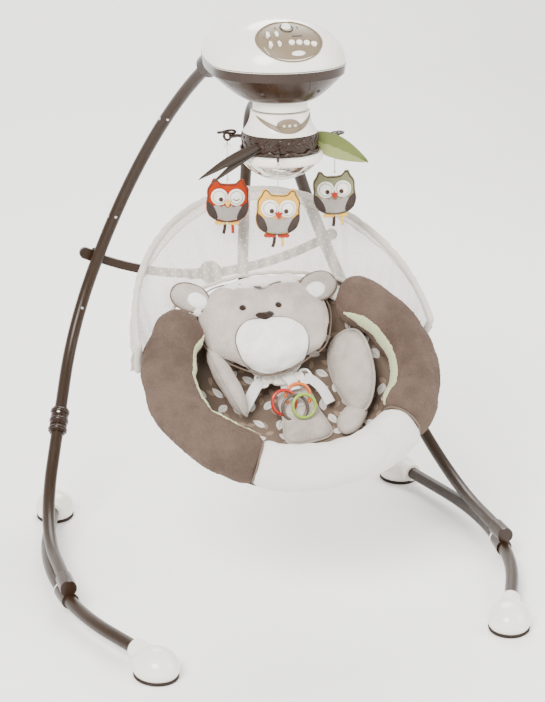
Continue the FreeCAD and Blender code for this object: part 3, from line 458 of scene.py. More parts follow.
def sheer(name, base, dot_pitch):
    """Netting: a fine see-through mesh with rows of small woven dots, and painted shade and highlight across
    its folds.
    """
    made = Finish(name, base, 0.8, Specular_IOR_Level=0.2, Sheen_Weight=0.4, Sheen_Roughness=0.5)
    layout = made.make("ShaderNodeUVMap", {"uv_map": "cloth"}).outputs["UV"]
    x, y, _ = made.axes(layout)
    row = (y / dot_pitch).math("FLOOR")
    u = (x / dot_pitch + row * 0.5).math("FRACT") - 0.5
    v = (y / dot_pitch).math("FRACT") - 0.5
    dots = 1.0 - (u * u + v * v).math("SQRT").step(0.085, 0.125)
    threads = (abs((x * 1900.0).sine())).step(0.72, 0.98).most((abs((y * 1900.0).sine())).step(0.72, 0.98))
    drift = made.noise(0.09, 2.0)
    gather = (((x * 210.0 + drift * 9.0).sine()) * 0.5 + 0.5) * ((y * 11.0).least(1.0) * 0.55 + 0.25)
    fold = made.noise(0.05, 3.0) * 0.5 + gather * 0.5
    # painted shade and highlight: the net darker and lighter across its folds and gathers
    made.paint(made.blend(dots, made.blend(fold, shade(base, 0.84), shade(base, 1.08)), (0.90, 0.885, 0.85)))
    clear = (threads * 0.15 + fold * 0.38 + 0.34).least(0.80)
    made.feed(made.shader.inputs["Alpha"], clear.most(dots * 0.95))
    return made.material


def webbing(name, base):
    """Woven strap with herringbone ribs along its length."""
    made = Finish(name, base, 0.82, Specular_IOR_Level=0.25, Sheen_Weight=0.2)
    layout = made.make("ShaderNodeUVMap", {"uv_map": "cloth"}).outputs["UV"]
    x, y, _ = made.axes(layout)
    zig = (x * 900.0).math("PINGPONG", 3.0)
    ribs = ((y * 3600.0 + zig * 2.2).sine()) * 0.5 + 0.5
    fray = made.noise(0.004, 4.0)
    made.paint(made.blend(ribs, shade(base, 0.74), base))
    made.bump(ribs + fray * 0.4, 0.0004)
    return made.material


def felt(name, base, stripe=None):
    """Felt leaf, with a paler half where it has a second colour."""
    made = Finish(name, base, 0.93, Specular_IOR_Level=0.15, Sheen_Weight=0.35)
    fibres = made.noise(0.0013, 5.0, 0.8)
    cloud = made.noise(0.02, 3.0)
    tone = made.blend(fibres, shade(base, 0.75), shade(base, 1.25))
    if stripe:
        layout = made.make("ShaderNodeUVMap", {"uv_map": "cloth"}).outputs["UV"]
        x, y, _ = made.axes(layout)
        tone = made.blend((y + (x * 40.0).sine() * 0.02).step(0.46, 0.52), tone, stripe)
    made.paint(made.blend(cloud * 0.3, tone, shade(base, 0.8)))
    made.bump(fibres, 0.0006)
    return made.material


def twisted(name, base):
    """Two-ply cord, its plies winding round."""
    made = Finish(name, base, 0.85, Specular_IOR_Level=0.2, Sheen_Weight=0.2)
    x, y, z = made.axes(made.place)
    plies = ((z * 2600.0 + (x + y) * 1400.0).sine()) * 0.5 + 0.5
    made.paint(made.blend(plies, shade(base, 0.6), shade(base, 1.1)))
    made.bump(plies, 0.0003)
    return made.material


FINISHES = {}


def finish(name):
    return FINISHES[name]


def make_finishes():
    c = colours()
    s = sizes()
    FINISHES.update({
        "frame_paint": powder_coat("frame_paint", c.frame_brown),
        "gloss_brown": moulded("gloss_brown", c.gloss_brown, 0.24, specular=0.35, coat=0.10),
        "cream_gloss": moulded("cream_gloss", c.cream, 0.24, coat=0.25),
        "cream_satin": moulded("cream_satin", shade(c.cream, 0.97), 0.38, depth=0.0001),
        "taupe_satin": moulded("taupe_satin", c.taupe, 0.46, 0.0009, 0.00014),
        # painted shade: a dark finish for seams, slots, recess rings and screw wells, standing for the shade
        # inside them
        "recess_painted_shade": moulded("recess_painted_shade", (0.018, 0.012, 0.009), 0.5),
        "icon_ink": moulded("icon_ink", (0.030, 0.022, 0.016), 0.55),
        "rubber": rubbery("rubber", c.rubber),
        "zinc": plated("zinc"),
        "mirror": mirrored_plastic("mirror"),
        "brown_plush": plush("brown_plush", c.plush, s.plush_pile),
        "bear_plush": plush("bear_plush", c.bear, 0.0015, 0.5, 0.35),
        "white_plush": plush("white_plush", c.white_plush, 0.0014, 0.4, 0.2),
        "ear_plush": plush("ear_plush", shade(c.bear, 0.92), 0.0014, 0.5, 0.3),
        "nose_thread": woven("nose_thread", (0.030, 0.018, 0.012), 0.0012),
        "cotton": woven("cotton", c.cotton, s.weave),
        "trim_green": woven("trim_green", c.trim, s.weave),
        "leaf_print": leaf_print("leaf_print", c.cotton, c.print_brown, s.weave, s.leaf),
        "piping": woven("piping", shade(c.print_brown, 1.1), 0.0008),
        "netting": sheer("netting", c.net, s.net_pitch),
        "hem": woven("hem", shade(c.net, 0.98), 0.0010),
        "webbing": webbing("webbing", c.webbing),
        "owl_yellow": plush("owl_yellow", c.owl_yellow, 0.0012, 0.5, 0.3),
        "owl_red": plush("owl_red", c.owl_red, 0.0012, 0.5, 0.3),
        "owl_green": plush("owl_green", c.owl_green, 0.0012, 0.5, 0.3),
        "owl_belly": plush("owl_belly", (0.30, 0.275, 0.25), 0.0012, 0.5, 0.3),
        "owl_wing": plush("owl_wing", (0.045, 0.034, 0.030), 0.0012, 0.5, 0.3),
        "owl_eye": felt("owl_eye", (0.84, 0.80, 0.74)),
        "pupil": felt("pupil", (0.040, 0.020, 0.012)),
        "felt_yellow": felt("felt_yellow", (0.72, 0.43, 0.07)),
        "felt_red": felt("felt_red", (0.33, 0.020, 0.006)),
        "felt_brown": felt("felt_brown", (0.032, 0.018, 0.012)),
        "felt_green": felt("felt_green", (0.125, 0.150, 0.042), (0.25, 0.28, 0.10)),
        "felt_dark": felt("felt_dark", (0.030, 0.020, 0.014)),
        "thread_brown": twisted("thread_brown", (0.055, 0.030, 0.018)),
        "thread_cream": twisted("thread_cream", (0.72, 0.68, 0.60)),
        "toy_cord": twisted("toy_cord", (0.62, 0.57, 0.48)),
        "ring_red": moulded("ring_red", c.ring_red, 0.25, coat=0.3),
        "ring_orange": moulded("ring_orange", c.ring_orange, 0.25, coat=0.3),
        "ring_grey": moulded("ring_grey", c.ring_grey, 0.3, coat=0.2),
        "ring_green": moulded("ring_green", c.ring_green, 0.25, coat=0.3),
    })


# ---------------------------------------------------------------- mesh helpers

def link(obj):
    bpy.context.scene.collection.objects.link(obj)
    return obj


def mesh_piece(name, points, faces, material, uv=None):
    """An object from points and faces, with its cloth layout if it has one."""
    mesh = bpy.data.meshes.new(name)
    mesh.from_pydata([tuple(point) for point in points], [], faces)
    mesh.update()
    mesh.materials.append(material)
    if uv is not None:
        layer = mesh.uv_layers.new(name="cloth")
        corners = np.empty(len(mesh.loops), int)
        mesh.loops.foreach_get("vertex_index", corners)
        layer.data.foreach_set("uv", np.array(uv, np.float32)[corners].ravel())
    mesh.shade_smooth()
    return link(bpy.data.objects.new(name, mesh))


def tidy_normals(obj, merge=1e-6):
    """Merge doubles and turn every face outwards."""
    shape = bmesh.new()
    shape.from_mesh(obj.data)
    bmesh.ops.remove_doubles(shape, verts=shape.verts, dist=merge)
    bmesh.ops.recalc_face_normals(shape, faces=shape.faces)
    shape.to_mesh(obj.data)
    shape.free()
    return obj


def settle(obj):
    """Replace a piece's mesh by what its modifiers make of it."""
    graph = bpy.context.evaluated_depsgraph_get()
    graph.update()
    made = bpy.data.meshes.new_from_object(obj.evaluated_get(graph))
    obj.modifiers.clear()
    obj.data = made
    made.shade_smooth()
    return obj


def subdivided(obj):
    smoother = obj.modifiers.new("smooth", "SUBSURF")
    smoother.levels = 1
    smoother.render_levels = 1
    return settle(obj)


def thickened(obj, depth, offset=-1.0):
    wall = obj.modifiers.new("wall", "SOLIDIFY")
    wall.thickness = depth
    wall.offset = offset
    return settle(obj)


def joined(name, objs):
    """Several pieces of one body as one object."""
    shape = bmesh.new()
    mesh = bpy.data.meshes.new(name)
    for obj in objs:
        base = len(mesh.materials)
        for material in obj.data.materials:
            mesh.materials.append(material)
        before = len(shape.faces)
        shape.from_mesh(obj.data)
        shape.faces.ensure_lookup_table()
        for face in shape.faces[before:]:
            face.material_index += base
    shape.to_mesh(mesh)
    shape.free()
    for obj in objs:
        bpy.data.objects.remove(obj)
    mesh.shade_smooth()
    return link(bpy.data.objects.new(name, mesh))


def surface(name, place, count_u, count_v, material, loop_u=False, loop_v=False, layout=None):
    """A skin from place(u, v), with u and v from 0 to 1."""
    points = []
    uv = []
    for i in range(count_u):
        u = i / (count_u if loop_u else count_u - 1)
        for j in range(count_v):
            v = j / (count_v if loop_v else count_v - 1)
            points.append(place(u, v))
            uv.append(layout(u, v) if layout else (u, v))
    faces = []
    for i in range(count_u if loop_u else count_u - 1):
        for j in range(count_v if loop_v else count_v - 1):
            a = i * count_v + j
            b = i * count_v + (j + 1) % count_v
            c = (i + 1) % count_u * count_v + (j + 1) % count_v
            d = (i + 1) % count_u * count_v + j
            faces.append((a, b, c, d))
    return mesh_piece(name, points, faces, material, uv)


def frames_along(points, closed=False):
    """Tangent, side and normal at each point of a line, turned as little as possible."""
    count = len(points)
    found = []
    side = None
    for i, point in enumerate(points):
        before = points[i - 1] if i or closed else point
        after = points[(i + 1) % count] if i + 1 < count or closed else point
        along = (after - before).normalized()
        if side is None:
            side = along.cross(Vector((0.0, 0.0, 1.0)))
            if side.length < 1e-3:
                side = along.cross(Vector((1.0, 0.0, 0.0)))
        side = (side - along * side.dot(along)).normalized()
        found.append((along, side, side.cross(along)))
    return found


def tube(name, points, radius, material, sides=12, closed=False, flat=1.0, taper=None):
    """A rod along a line; flat squeezes it, taper(t) scales it."""
    rings = frames_along(points, closed)
    verts = []
    uv = []
    walked = 0.0
    for i, (point, (_, side, normal)) in enumerate(zip(points, rings)):
        if i:
            walked += (point - points[i - 1]).length
        size = radius * (taper(i / (len(points) - 1)) if taper else 1.0)
        for k in range(sides):
            turn = 2.0 * math.pi * k / sides
            verts.append(point + side * (math.cos(turn) * size) + normal * (math.sin(turn) * size * flat))
            uv.append((walked, turn * radius))
    faces = []
    count = len(points)
    for i in range(count if closed else count - 1):
        for k in range(sides):
            a = i * sides + k
            b = i * sides + (k + 1) % sides
            c = (i + 1) % count * sides + (k + 1) % sides
            d = (i + 1) % count * sides + k
            faces.append((a, b, c, d))
    if not closed:
        faces.append(tuple(range(sides)))
        faces.append(tuple((count - 1) * sides + k for k in reversed(range(sides))))
    return tidy_normals(mesh_piece(name, verts, faces, material, uv))


def strap(name, points, normals, width, thick, material):
    """A flat strap along a line, rounded at its edges, with its length as its layout."""
    shape = [(-0.5, -0.3), (-0.5, 0.3), (-0.42, 0.5), (0.0, 0.75), (0.42, 0.5), (0.5, 0.3), (0.5, -0.3),
             (0.42, -0.5), (-0.42, -0.5)]
    verts = []
    uv = []
    walked = 0.0
    for i, (point, normal) in enumerate(zip(points, normals)):
        before = points[max(i - 1, 0)]
        after = points[min(i + 1, len(points) - 1)]
        along = (after - before).normalized()
        side = along.cross(normal).normalized()
        if i:
            walked += (point - before).length
        for across, lift in shape:
            verts.append(point + side * (across * width) + normal * (lift * thick))
            uv.append((across * width, walked))
    count = len(shape)
    faces = []
    for i in range(len(points) - 1):
        for k in range(count):
            a = i * count + k
            b = i * count + (k + 1) % count
            faces.append((a, b, b + count, a + count))
    faces.append(tuple(range(count)))
    faces.append(tuple((len(points) - 1) * count + k for k in reversed(range(count))))
    obj = mesh_piece(name, verts, faces, material, uv)
    shape = bmesh.new()
    shape.from_mesh(obj.data)
    bmesh.ops.recalc_face_normals(shape, faces=shape.faces)
    shape.to_mesh(obj.data)
    shape.free()
    return obj


def smooth_line(corners, count, closed=False):
    """Evenly numbered points on a soft curve through the corners."""
    found = []
    spans = len(corners) if closed else len(corners) - 1
    for i in range(count):
        t = i * spans / (count if closed else count - 1)
        k = min(int(t), spans - 1)
        f = t - k
        if closed:
            a, b, c, d = (corners[(k + j) % len(corners)] for j in (-1, 0, 1, 2))
        else:
            a, b, c, d = (corners[min(max(k + j, 0), len(corners) - 1)] for j in (-1, 0, 1, 2))
        found.append(0.5 * ((2.0 * b) + (c - a) * f + (2.0 * a - 5.0 * b + 4.0 * c - d) * f * f
                            + (3.0 * b - a - 3.0 * c + d) * f * f * f))
    return found


def patch(name, outline, lay, thick, material, rings=7, crown=0.0):
    """A flat piece of cloth cut to an outline, laid by lay(x, y, lift) on something curved."""
    centre = sum(outline, Vector((0.0, 0.0))) / len(outline)
    count = len(outline)
    points = [lay(centre.x, centre.y, thick + crown)]
    uv = [(0.5, 0.5)]
    span = max((corner - centre).length for corner in outline) * 2.0
    for ring in range(1, rings + 1):
        share = ring / rings
        for corner in outline:
            at = centre + (corner - centre) * share
            points.append(lay(at.x, at.y, thick * (1.0 - 0.35 * share ** 6) + crown * (1.0 - share * share)))
            uv.append(((at.x - centre.x) / span + 0.5, (at.y - centre.y) / span + 0.5))
    for corner in outline:
        points.append(lay(corner.x, corner.y, -thick * 0.6))
        uv.append(((corner.x - centre.x) / span + 0.5, (corner.y - centre.y) / span + 0.5))
    faces = [(0, 1 + k, 1 + (k + 1) % count) for k in range(count)]
    for ring in range(rings):
        for k in range(count):
            a = 1 + ring * count + k
            b = 1 + ring * count + (k + 1) % count
            faces.append((a, a + count, b + count, b))
    return mesh_piece(name, points, faces, material, uv)


def oval(x, y, half_x, half_y, count=36, turn=0.0, power=2.0):
    """A closed outline, an ellipse or a squarer superellipse."""
    found = []
    for k in range(count):
        angle = 2.0 * math.pi * k / count
        c = math.cos(angle)
        s = math.sin(angle)
        px = half_x * math.copysign(abs(c) ** (2.0 / power), c)
        py = half_y * math.copysign(abs(s) ** (2.0 / power), s)
        found.append(Vector((x + px * math.cos(turn) - py * math.sin(turn),
                             y + px * math.sin(turn) + py * math.cos(turn))))
    return found


def lathe(name, profile, centre, axis, material, segments=48):
    """A turned piece from (radius, height) pairs about an axis."""
    turn = Vector((0.0, 0.0, 1.0)).rotation_difference(axis)
    points = []
    for radius, height in profile:
        for k in range(segments):
            angle = 2.0 * math.pi * k / segments
            points.append(centre + turn @ Vector((radius * math.cos(angle), radius * math.sin(angle),
                                                  height)))
    faces = []
    for i in range(len(profile) - 1):
        for k in range(segments):
            a = i * segments + k
            b = i * segments + (k + 1) % segments
            faces.append((a, b, b + segments, a + segments))
    return tidy_normals(mesh_piece(name, points, faces, material), 1e-7)


def ruffled(obj, amount, pitch, seed):
    """Push a fabric's points in and out by smooth noise."""
    mesh = obj.data
    count = len(mesh.vertices)
    places = np.empty(count * 3)
    normals = np.empty(count * 3)
    mesh.vertices.foreach_get("co", places)
    mesh.vertices.foreach_get("normal", normals)
    places = places.reshape(-1, 3)
    normals = normals.reshape(-1, 3)
    shift = Vector((seed * 3.17, seed * 1.71, seed * 2.39))
    push = np.array([noise.noise(Vector(place) / pitch + shift) for place in places])
    places += normals * (push * amount)[:, None]
    mesh.vertices.foreach_set("co", places.ravel())
    mesh.update()
    return obj


CLOTH_FRAMES = 20
CLOTH_STIFFNESS = 15.0


def swollen(obj, voxel=0.0055, pressure=4.0, cap=0.008):
    """Remesh a pad, blow it up as cloth, and hold every point near where it started."""
    remesh = obj.modifiers.new("even", "REMESH")
    remesh.mode = "VOXEL"
    remesh.voxel_size = voxel
    settle(obj)
    start = np.empty(len(obj.data.vertices) * 3)
    obj.data.vertices.foreach_get("co", start)
    start = start.reshape(-1, 3)
    cloth = obj.modifiers.new("cloth", "CLOTH")
    cloth.settings.use_pressure = True
    cloth.settings.uniform_pressure_force = pressure
    cloth.settings.effector_weights.gravity = 0.0
    cloth.settings.quality = 4
    cloth.settings.mass = 0.3
    cloth.settings.tension_stiffness = CLOTH_STIFFNESS
    cloth.settings.compression_stiffness = CLOTH_STIFFNESS
    cloth.settings.bending_stiffness = 0.5
    cloth.point_cache.frame_start = 1
    cloth.point_cache.frame_end = CLOTH_FRAMES
    for step in range(1, CLOTH_FRAMES + 1):
        bpy.context.scene.frame_set(step)
    graph = bpy.context.evaluated_depsgraph_get()
    made = bpy.data.meshes.new_from_object(obj.evaluated_get(graph))
    obj.modifiers.clear()
    bpy.context.scene.frame_set(1)
    moved = np.empty(len(made.vertices) * 3)
    made.vertices.foreach_get("co", moved)
    moved = moved.reshape(-1, 3)
    shift = moved - start
    far = np.linalg.norm(shift, axis=1)
    scale = np.where(far > cap, cap / np.maximum(far, 1e-9), 1.0)
    made.vertices.foreach_set("co", (start + shift * scale[:, None]).ravel())
    made.update()
    obj.data = made
    relaxed = obj.modifiers.new("relax", "SMOOTH")
    relaxed.factor = 0.5
    relaxed.iterations = 3
    settle(obj)
    return subdivided(obj)


# ---------------------------------------------------------------- repeats, by Geometry Nodes

def repeat_tree(name, template, material):
    """Copies of a small piece on points, each stood on its own facing and turned to its own heading."""
    tree = bpy.data.node_groups.new(name, "GeometryNodeTree")
    tree.interface.new_socket("Geometry", in_out="INPUT", socket_type="NodeSocketGeometry")
    tree.interface.new_socket("Size", in_out="INPUT", socket_type="NodeSocketFloat")
    tree.interface.new_socket("Size variation", in_out="INPUT", socket_type="NodeSocketFloat")
    tree.interface.new_socket("Geometry", in_out="OUTPUT", socket_type="NodeSocketGeometry")
    nodes = tree.nodes
    group_in = nodes.new("NodeGroupInput")
    group_out = nodes.new("NodeGroupOutput")
    source = nodes.new("GeometryNodeObjectInfo")
    source.inputs["Object"].default_value = template
    facing = nodes.new("GeometryNodeInputNamedAttribute")
    facing.data_type = "FLOAT_VECTOR"
    facing.inputs["Name"].default_value = "facing"
    heading = nodes.new("GeometryNodeInputNamedAttribute")
    heading.data_type = "FLOAT_VECTOR"
    heading.inputs["Name"].default_value = "heading"
    stand = nodes.new("FunctionNodeAxesToRotation")
    stand.primary_axis = "Z"
    stand.secondary_axis = "X"
    vary = nodes.new("FunctionNodeRandomValue")
    vary.data_type = "FLOAT"
    vary.inputs["Seed"].default_value = 7
    low = nodes.new("ShaderNodeMath")
    low.operation = "SUBTRACT"
    low.inputs[0].default_value = 1.0
    high = nodes.new("ShaderNodeMath")
    high.operation = "ADD"
    high.inputs[0].default_value = 1.0
    grow = nodes.new("ShaderNodeMath")
    grow.operation = "MULTIPLY"
    place = nodes.new("GeometryNodeInstanceOnPoints")
    real = nodes.new("GeometryNodeRealizeInstances")
    dress = nodes.new("GeometryNodeSetMaterial")
    dress.inputs["Material"].default_value = material
    join = tree.links.new
    join(group_in.outputs["Size variation"], low.inputs[1])
    join(group_in.outputs["Size variation"], high.inputs[1])
    join(low.outputs[0], vary.inputs[2])
    join(high.outputs[0], vary.inputs[3])
    join(vary.outputs[1], grow.inputs[0])
    join(group_in.outputs["Size"], grow.inputs[1])
    join(facing.outputs["Attribute"], stand.inputs["Primary Axis"])
    join(heading.outputs["Attribute"], stand.inputs["Secondary Axis"])
    join(group_in.outputs["Geometry"], place.inputs["Points"])
    join(source.outputs["Geometry"], place.inputs["Instance"])
    join(stand.outputs["Rotation"], place.inputs["Rotation"])
    join(grow.outputs[0], place.inputs["Scale"])
    join(place.outputs["Instances"], real.inputs["Geometry"])
    join(real.outputs["Geometry"], dress.inputs["Geometry"])
    join(dress.outputs["Geometry"], group_out.inputs["Geometry"])
    return tree


def repeated(name, template, spots, size, material, body, variation=0.0):
    """One mesh holding a copy of the template at each (place, facing, heading)."""
    mesh = bpy.data.meshes.new(name)
    mesh.from_pydata([tuple(spot[0]) for spot in spots], [], [])
    for word, column in (("facing", 1), ("heading", 2)):
        attribute = mesh.attributes.new(word, "FLOAT_VECTOR", "POINT")
        attribute.data.foreach_set("vector", np.array([tuple(spot[column]) for spot in spots],
                                                      np.float32).ravel())
    obj = link(bpy.data.objects.new(name, mesh))
    tree = repeat_tree(name + "_nodes", template, material)
    modifier = obj.modifiers.new("repeat", "NODES")
    modifier.node_group = tree
    for item in tree.interface.items_tree:
        if item.item_type == "SOCKET" and item.in_out == "INPUT" and item.name == "Size":
            modifier[item.identifier] = size
        if item.item_type == "SOCKET" and item.in_out == "INPUT" and item.name == "Size variation":
            modifier[item.identifier] = variation
    settle(obj)
    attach(obj, body)
    return obj


def template(name, obj):
    """Keep a small piece as a pattern for repeats, out of the scene."""
    obj.name = name
    for collection in list(obj.users_collection):
        collection.objects.unlink(obj)
    return obj


def along_line(points, normals, pitch):
    """Evenly spaced (place, facing, heading) on a line with a normal at each point."""
    spots = []
    carried = 0.0
    for a, b, normal in zip(points[:-1], points[1:], normals[:-1]):
        step = b - a
        reach = step.length
        while carried < reach:
            spots.append((a + step * (carried / max(reach, 1e-9)), normal, step.normalized()))
            carried += pitch
        carried -= reach
    return spots


PATTERNS = {}


def make_patterns():
    """Small pieces, one unit across, that the repeats copy."""
    zinc = finish("zinc")
    up = Vector((0.0, 0.0, 1.0))
    origin = Vector((0.0, 0.0, 0.0))
    screw = lathe("screw", [(0.0, 0.34), (0.18, 0.34), (0.22, 0.30), (0.55, 0.38), (0.85, 0.22), (1.0, 0.0),
                            (1.0, -0.4)],
                  origin, up, zinc, 20)
    rivet = lathe("rivet", [(0.0, 0.55), (0.45, 0.48), (0.8, 0.28), (1.0, 0.0), (1.0, -0.3)], origin, up,
                  zinc, 16)
    stitch = tube("stitch", [Vector((x, 0.0, z)) for x,
                             z in ((-0.5, -0.12), (-0.3, 0.06), (0.0, 0.12), (0.3, 0.06),
                                                              (0.5, -0.12))], 0.14, finish("thread_brown"), 6)
    leaf = patch("leaf", [Vector((0.5 * math.cos(a), 0.2 * math.sin(a) * (1.0 + 0.35 * math.cos(a))))
                          for a in round_angles(24)],
                 lambda x, y, lift: Vector((x, y, lift + 0.03 - 0.12 * abs(y))), 0.05, finish("gloss_brown"),
                 3)
    for name, obj in (("screw", screw), ("rivet", rivet), ("stitch", stitch), ("leaf", leaf)):
        PATTERNS[name] = template(name, obj)


# ---------------------------------------------------------------- finishes on the frame

CAD_FINISHES = {
    "leg_upper": "frame_paint", "leg_lower": "frame_paint", "rail": "frame_paint", "brace": "frame_paint",
    "collar": "gloss_brown", "saddle": "gloss_brown", "foot": "cream_gloss", "fold_pin": "zinc",
    "head_top_shell": "cream_gloss", "head_lower_shell": "gloss_brown", "control_panel": "taupe_satin",
    "power_button": "cream_gloss", "mode_button": "cream_gloss", "rocker": "cream_gloss",
    "swing_axle": "zinc", "swing_motor": "zinc", "swing_neck": "cream_gloss", "turret_bell": "cream_gloss",
    "selector_button": "taupe_satin", "seat_hanger": "frame_paint", "mobile_ring": "gloss_brown",
    "mobile_bezel": "cream_gloss", "mobile_mirror": "mirror", "owl_yellow": "owl_yellow",
    "owl_red": "owl_red",
    "owl_green": "owl_green", "string": "toy_cord", "seat_frame": "frame_paint", "seat_shell": "cotton",
    "seat_liner": "leaf_print", "left_roll": "brown_plush", "right_roll": "brown_plush",
    "front_roll": "cotton",
    "head_pad": "bear_plush", "support": "leaf_print", "crotch_pad": "cotton", "buckle": "cream_gloss",
    "toy_ring_1": "ring_red", "toy_ring_2": "ring_orange", "toy_ring_3": "ring_grey",
    "toy_ring_4": "ring_green",
    "canopy_hoop": "hem", "canopy_net": "netting",
}
SIDES = (("left", -1.0), ("right", 1.0))


def dress_cad():
    """Every solid gets the finish its name asks for."""
    for name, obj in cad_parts.items():
        match = max((key for key in CAD_FINISHES if key in name), key=len)
        obj.data.materials.clear()
        obj.data.materials.append(finish(CAD_FINISHES[match]))
        obj.data.shade_auto_smooth(angle=math.radians(32.0)) if hasattr(obj.data,
                                                                        "shade_auto_smooth") else None


def middle(node):
    low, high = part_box(node)
    return (low + high) / 2.0


class Skin:
    """Finds places on a piece's own surface, so that trim sits on it."""

    def __init__(self, obj):
        shape = bmesh.new()
        shape.from_mesh(obj.data)
        self.tree = BVHTree.FromBMesh(shape)
        shape.free()

    def hit(self, start, along):
        """(place, normal) of where a line first meets it, or two Nones."""
        return self.tree.ray_cast(start, along)[:2]

    def nearest(self, start):
        return self.tree.find_nearest(start)[:2]


def node_skin(name):
    """The surface of one solid of the frame."""
    return Skin(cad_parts[name])


def spot_on(skin, start, along, heading):
    """(place, facing, heading) of where a line first meets a solid, or nothing."""
    place, normal = skin.hit(start, along)
    if place is None:
        return []
    if normal.dot(along) > 0.0:
        normal = -normal
    return [(place + normal * 0.0001, normal, heading)]


def frame_trim():
    """Screws, rivets, foot pads and bumpers of the standing frame."""
    size = sizes().screw
    forward = Vector((0.0, 1.0, 0.0))
    across = Vector((1.0, 0.0, 0.0))
    for side, sign in SIDES:
        leg = "%s_leg" % side
        upper = node_skin("%s_leg_upper" % side)
        collar = node_skin("%s_collar" % side)
        low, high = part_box("%s_leg_upper" % side)
        rivets = []
        for share in (0.22, 0.50, 0.74):
            z = high.z - (high.z - low.z) * share
            x = sign * (FOLD_X + (FOLD_Z - z) * LEG_SPLAY)
            rivets += spot_on(upper, Vector((x, -0.9, z)), forward, across)
            rivets += spot_on(upper, Vector((sign * 1.0, middle_y_at(upper, x, z), z)),
                              Vector((-sign, 0.0, 0.0)), forward)
        repeated("%s_leg_rivets" % side, PATTERNS["rivet"], rivets, size * 0.75, finish("zinc"), leg)
        screws = []
        place = middle("%s_collar" % side)
        for turn in (-0.010, 0.012):
            start = Vector((place.x + sign * 0.2, place.y + turn, place.z + turn))
            screws += spot_on(collar, start, Vector((-sign, 0.0, 0.0)), forward)
        screws += spot_on(collar, place + Vector((0.0, 0.0, 0.1)), Vector((0.0, 0.0, -1.0)), forward)
        repeated("%s_collar_screws" % side, PATTERNS["screw"], screws, size, finish("zinc"), leg)
        for end in ("front", "rear"):
            name = "%s_%s_foot" % (side, end)
            foot_pad(name, leg)
        rail_bumper(side, sign, leg)
        collar_steps(side, leg)
        brace_bolt(side, sign)


def middle_y_at(skin, x, z):
    """Halfway through a leg, found from its front and back."""
    front = skin.hit(Vector((x, -1.0, z)), Vector((0.0, 1.0, 0.0)))[0]
    back = skin.hit(Vector((x, 1.0, z)), Vector((0.0, -1.0, 0.0)))[0]
    if front is None or back is None:
        return 0.0
    return (front.y + back.y) / 2.0


def foot_pad(name, body):
    """A brown rubber sole with a raised lip, under one foot."""
    low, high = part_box(name)
    centre = (low + high) / 2.0
    skin = node_skin(name)
    count = 56
    rim = []
    for k in range(count):
        angle = 2.0 * math.pi * k / count
        away = level_way(angle)
        place, _ = skin.hit(Vector((centre.x, centre.y, low.z + 0.007)) + away * 0.2, -away)
        rim.append(place if place is not None else Vector((centre.x, centre.y, low.z + 0.007)) + away * 0.03)
    profile = ((0.0, -0.004), (0.0004, -0.0002), (0.0016, 0.0014), (0.0019, 0.004), (0.0010, 0.0064),
               (0.0001, 0.0066),
               (-0.0012, 0.004))
    points = []
    middle_place = Vector((centre.x, centre.y, 0.0))
    for place in rim:
        away = (Vector((place.x, place.y, 0.0)) - middle_place).normalized()
        for out, rise in profile:
            points.append(Vector((place.x, place.y, low.z)) + away * out + Vector((0.0, 0.0,
                                                                                   max(rise, 0.00005))))
    faces = []
    width = len(profile)
    for k in range(count):
        for j in range(width - 1):
            a = k * width + j
            b = (k + 1) % count * width + j
            faces.append((a, b, b + 1, a + 1))
    obj = tidy_normals(mesh_piece(name + "_sole", points, faces, finish("rubber")), 1e-7)
    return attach(obj, body)


def rail_bumper(side, sign, body):
    """A small cream bumper on top of the rail, halfway along it."""
    skin = node_skin("%s_rail" % side)
    low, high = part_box("%s_rail" % side)
    y = 0.5 * (low.y + high.y) - 0.052
    side_place, _ = skin.hit(Vector((sign * 0.8, y, 0.031)), Vector((-sign, 0.0, 0.0)))
    centre = Vector((side_place.x - sign * 0.0125, y, 0.031))
    path = [centre + Vector((0.0, step * 0.0085, 0.0)) for step in (-1.0, -0.72, 0.0, 0.72, 1.0)]
    obj = tube("%s_rail_bumper" % side, path, 0.0158, finish("cream_satin"), 28,
               taper=lambda t: 0.86 + 0.14 * math.sin(math.pi * min(max(t, 0.06), 0.94)))
    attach(obj, body)


def collar_steps(side, body):
    """Two raised ridges round each collar, where the tubes are joined."""
    name = "%s_collar" % side
    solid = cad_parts[name].data
    count = len(solid.vertices)
    places = np.empty(count * 3)
    solid.vertices.foreach_get("co", places)
    places = places.reshape(-1, 3)
    centre = places.mean(axis=0)
    spread = np.linalg.eigh(np.cov((places - centre).T))
    along = Vector(spread[1][:, 2])
    reach = ((places - centre) @ np.array(along))
    radii = np.linalg.norm((places - centre) - reach[:, None] * np.array(along), axis=1)
    radius = float(radii.max())
    for index, share in enumerate((-0.36, 0.0, 0.36)):
        at = Vector(centre) + along * (float(reach.max() - reach.min()) * share)
        profile = [(radius - 0.001, -0.0042), (radius + 0.0012, -0.0034), (radius + 0.0016, 0.0),
                   (radius + 0.0012, 0.0034), (radius - 0.001, 0.0042)]
        ridge = lathe("%s_ridge_%d" % (name, index), profile, at, along, finish("gloss_brown"), 40)
        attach(ridge, body)


def brace_bolt(side, sign):
    """The bolt head and washer where each half of the brace meets its leg."""
    skin = node_skin("%s_brace" % side)
    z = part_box("%s_brace" % side)[1].z - 0.013
    start = Vector((sign * 0.2499, 0.9, z))
    place = skin.hit(start, Vector((0.0, -1.0, 0.0)))[0]
    if place is None:
        return
    obj = lathe("%s_brace_bolt" % side, [(0.0, 0.0032), (0.0042, 0.0030), (0.0064, 0.0014), (0.0066, 0.0012),
                                         (0.0096, 0.0010),
                                         (0.0100, 0.0), (0.0100, -0.0006)], place, Vector((0.0, 1.0, 0.0)),
                                         finish("zinc"), 28)
    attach(obj, "%s_brace" % side)


# ---------------------------------------------------------------- head, panel and turret

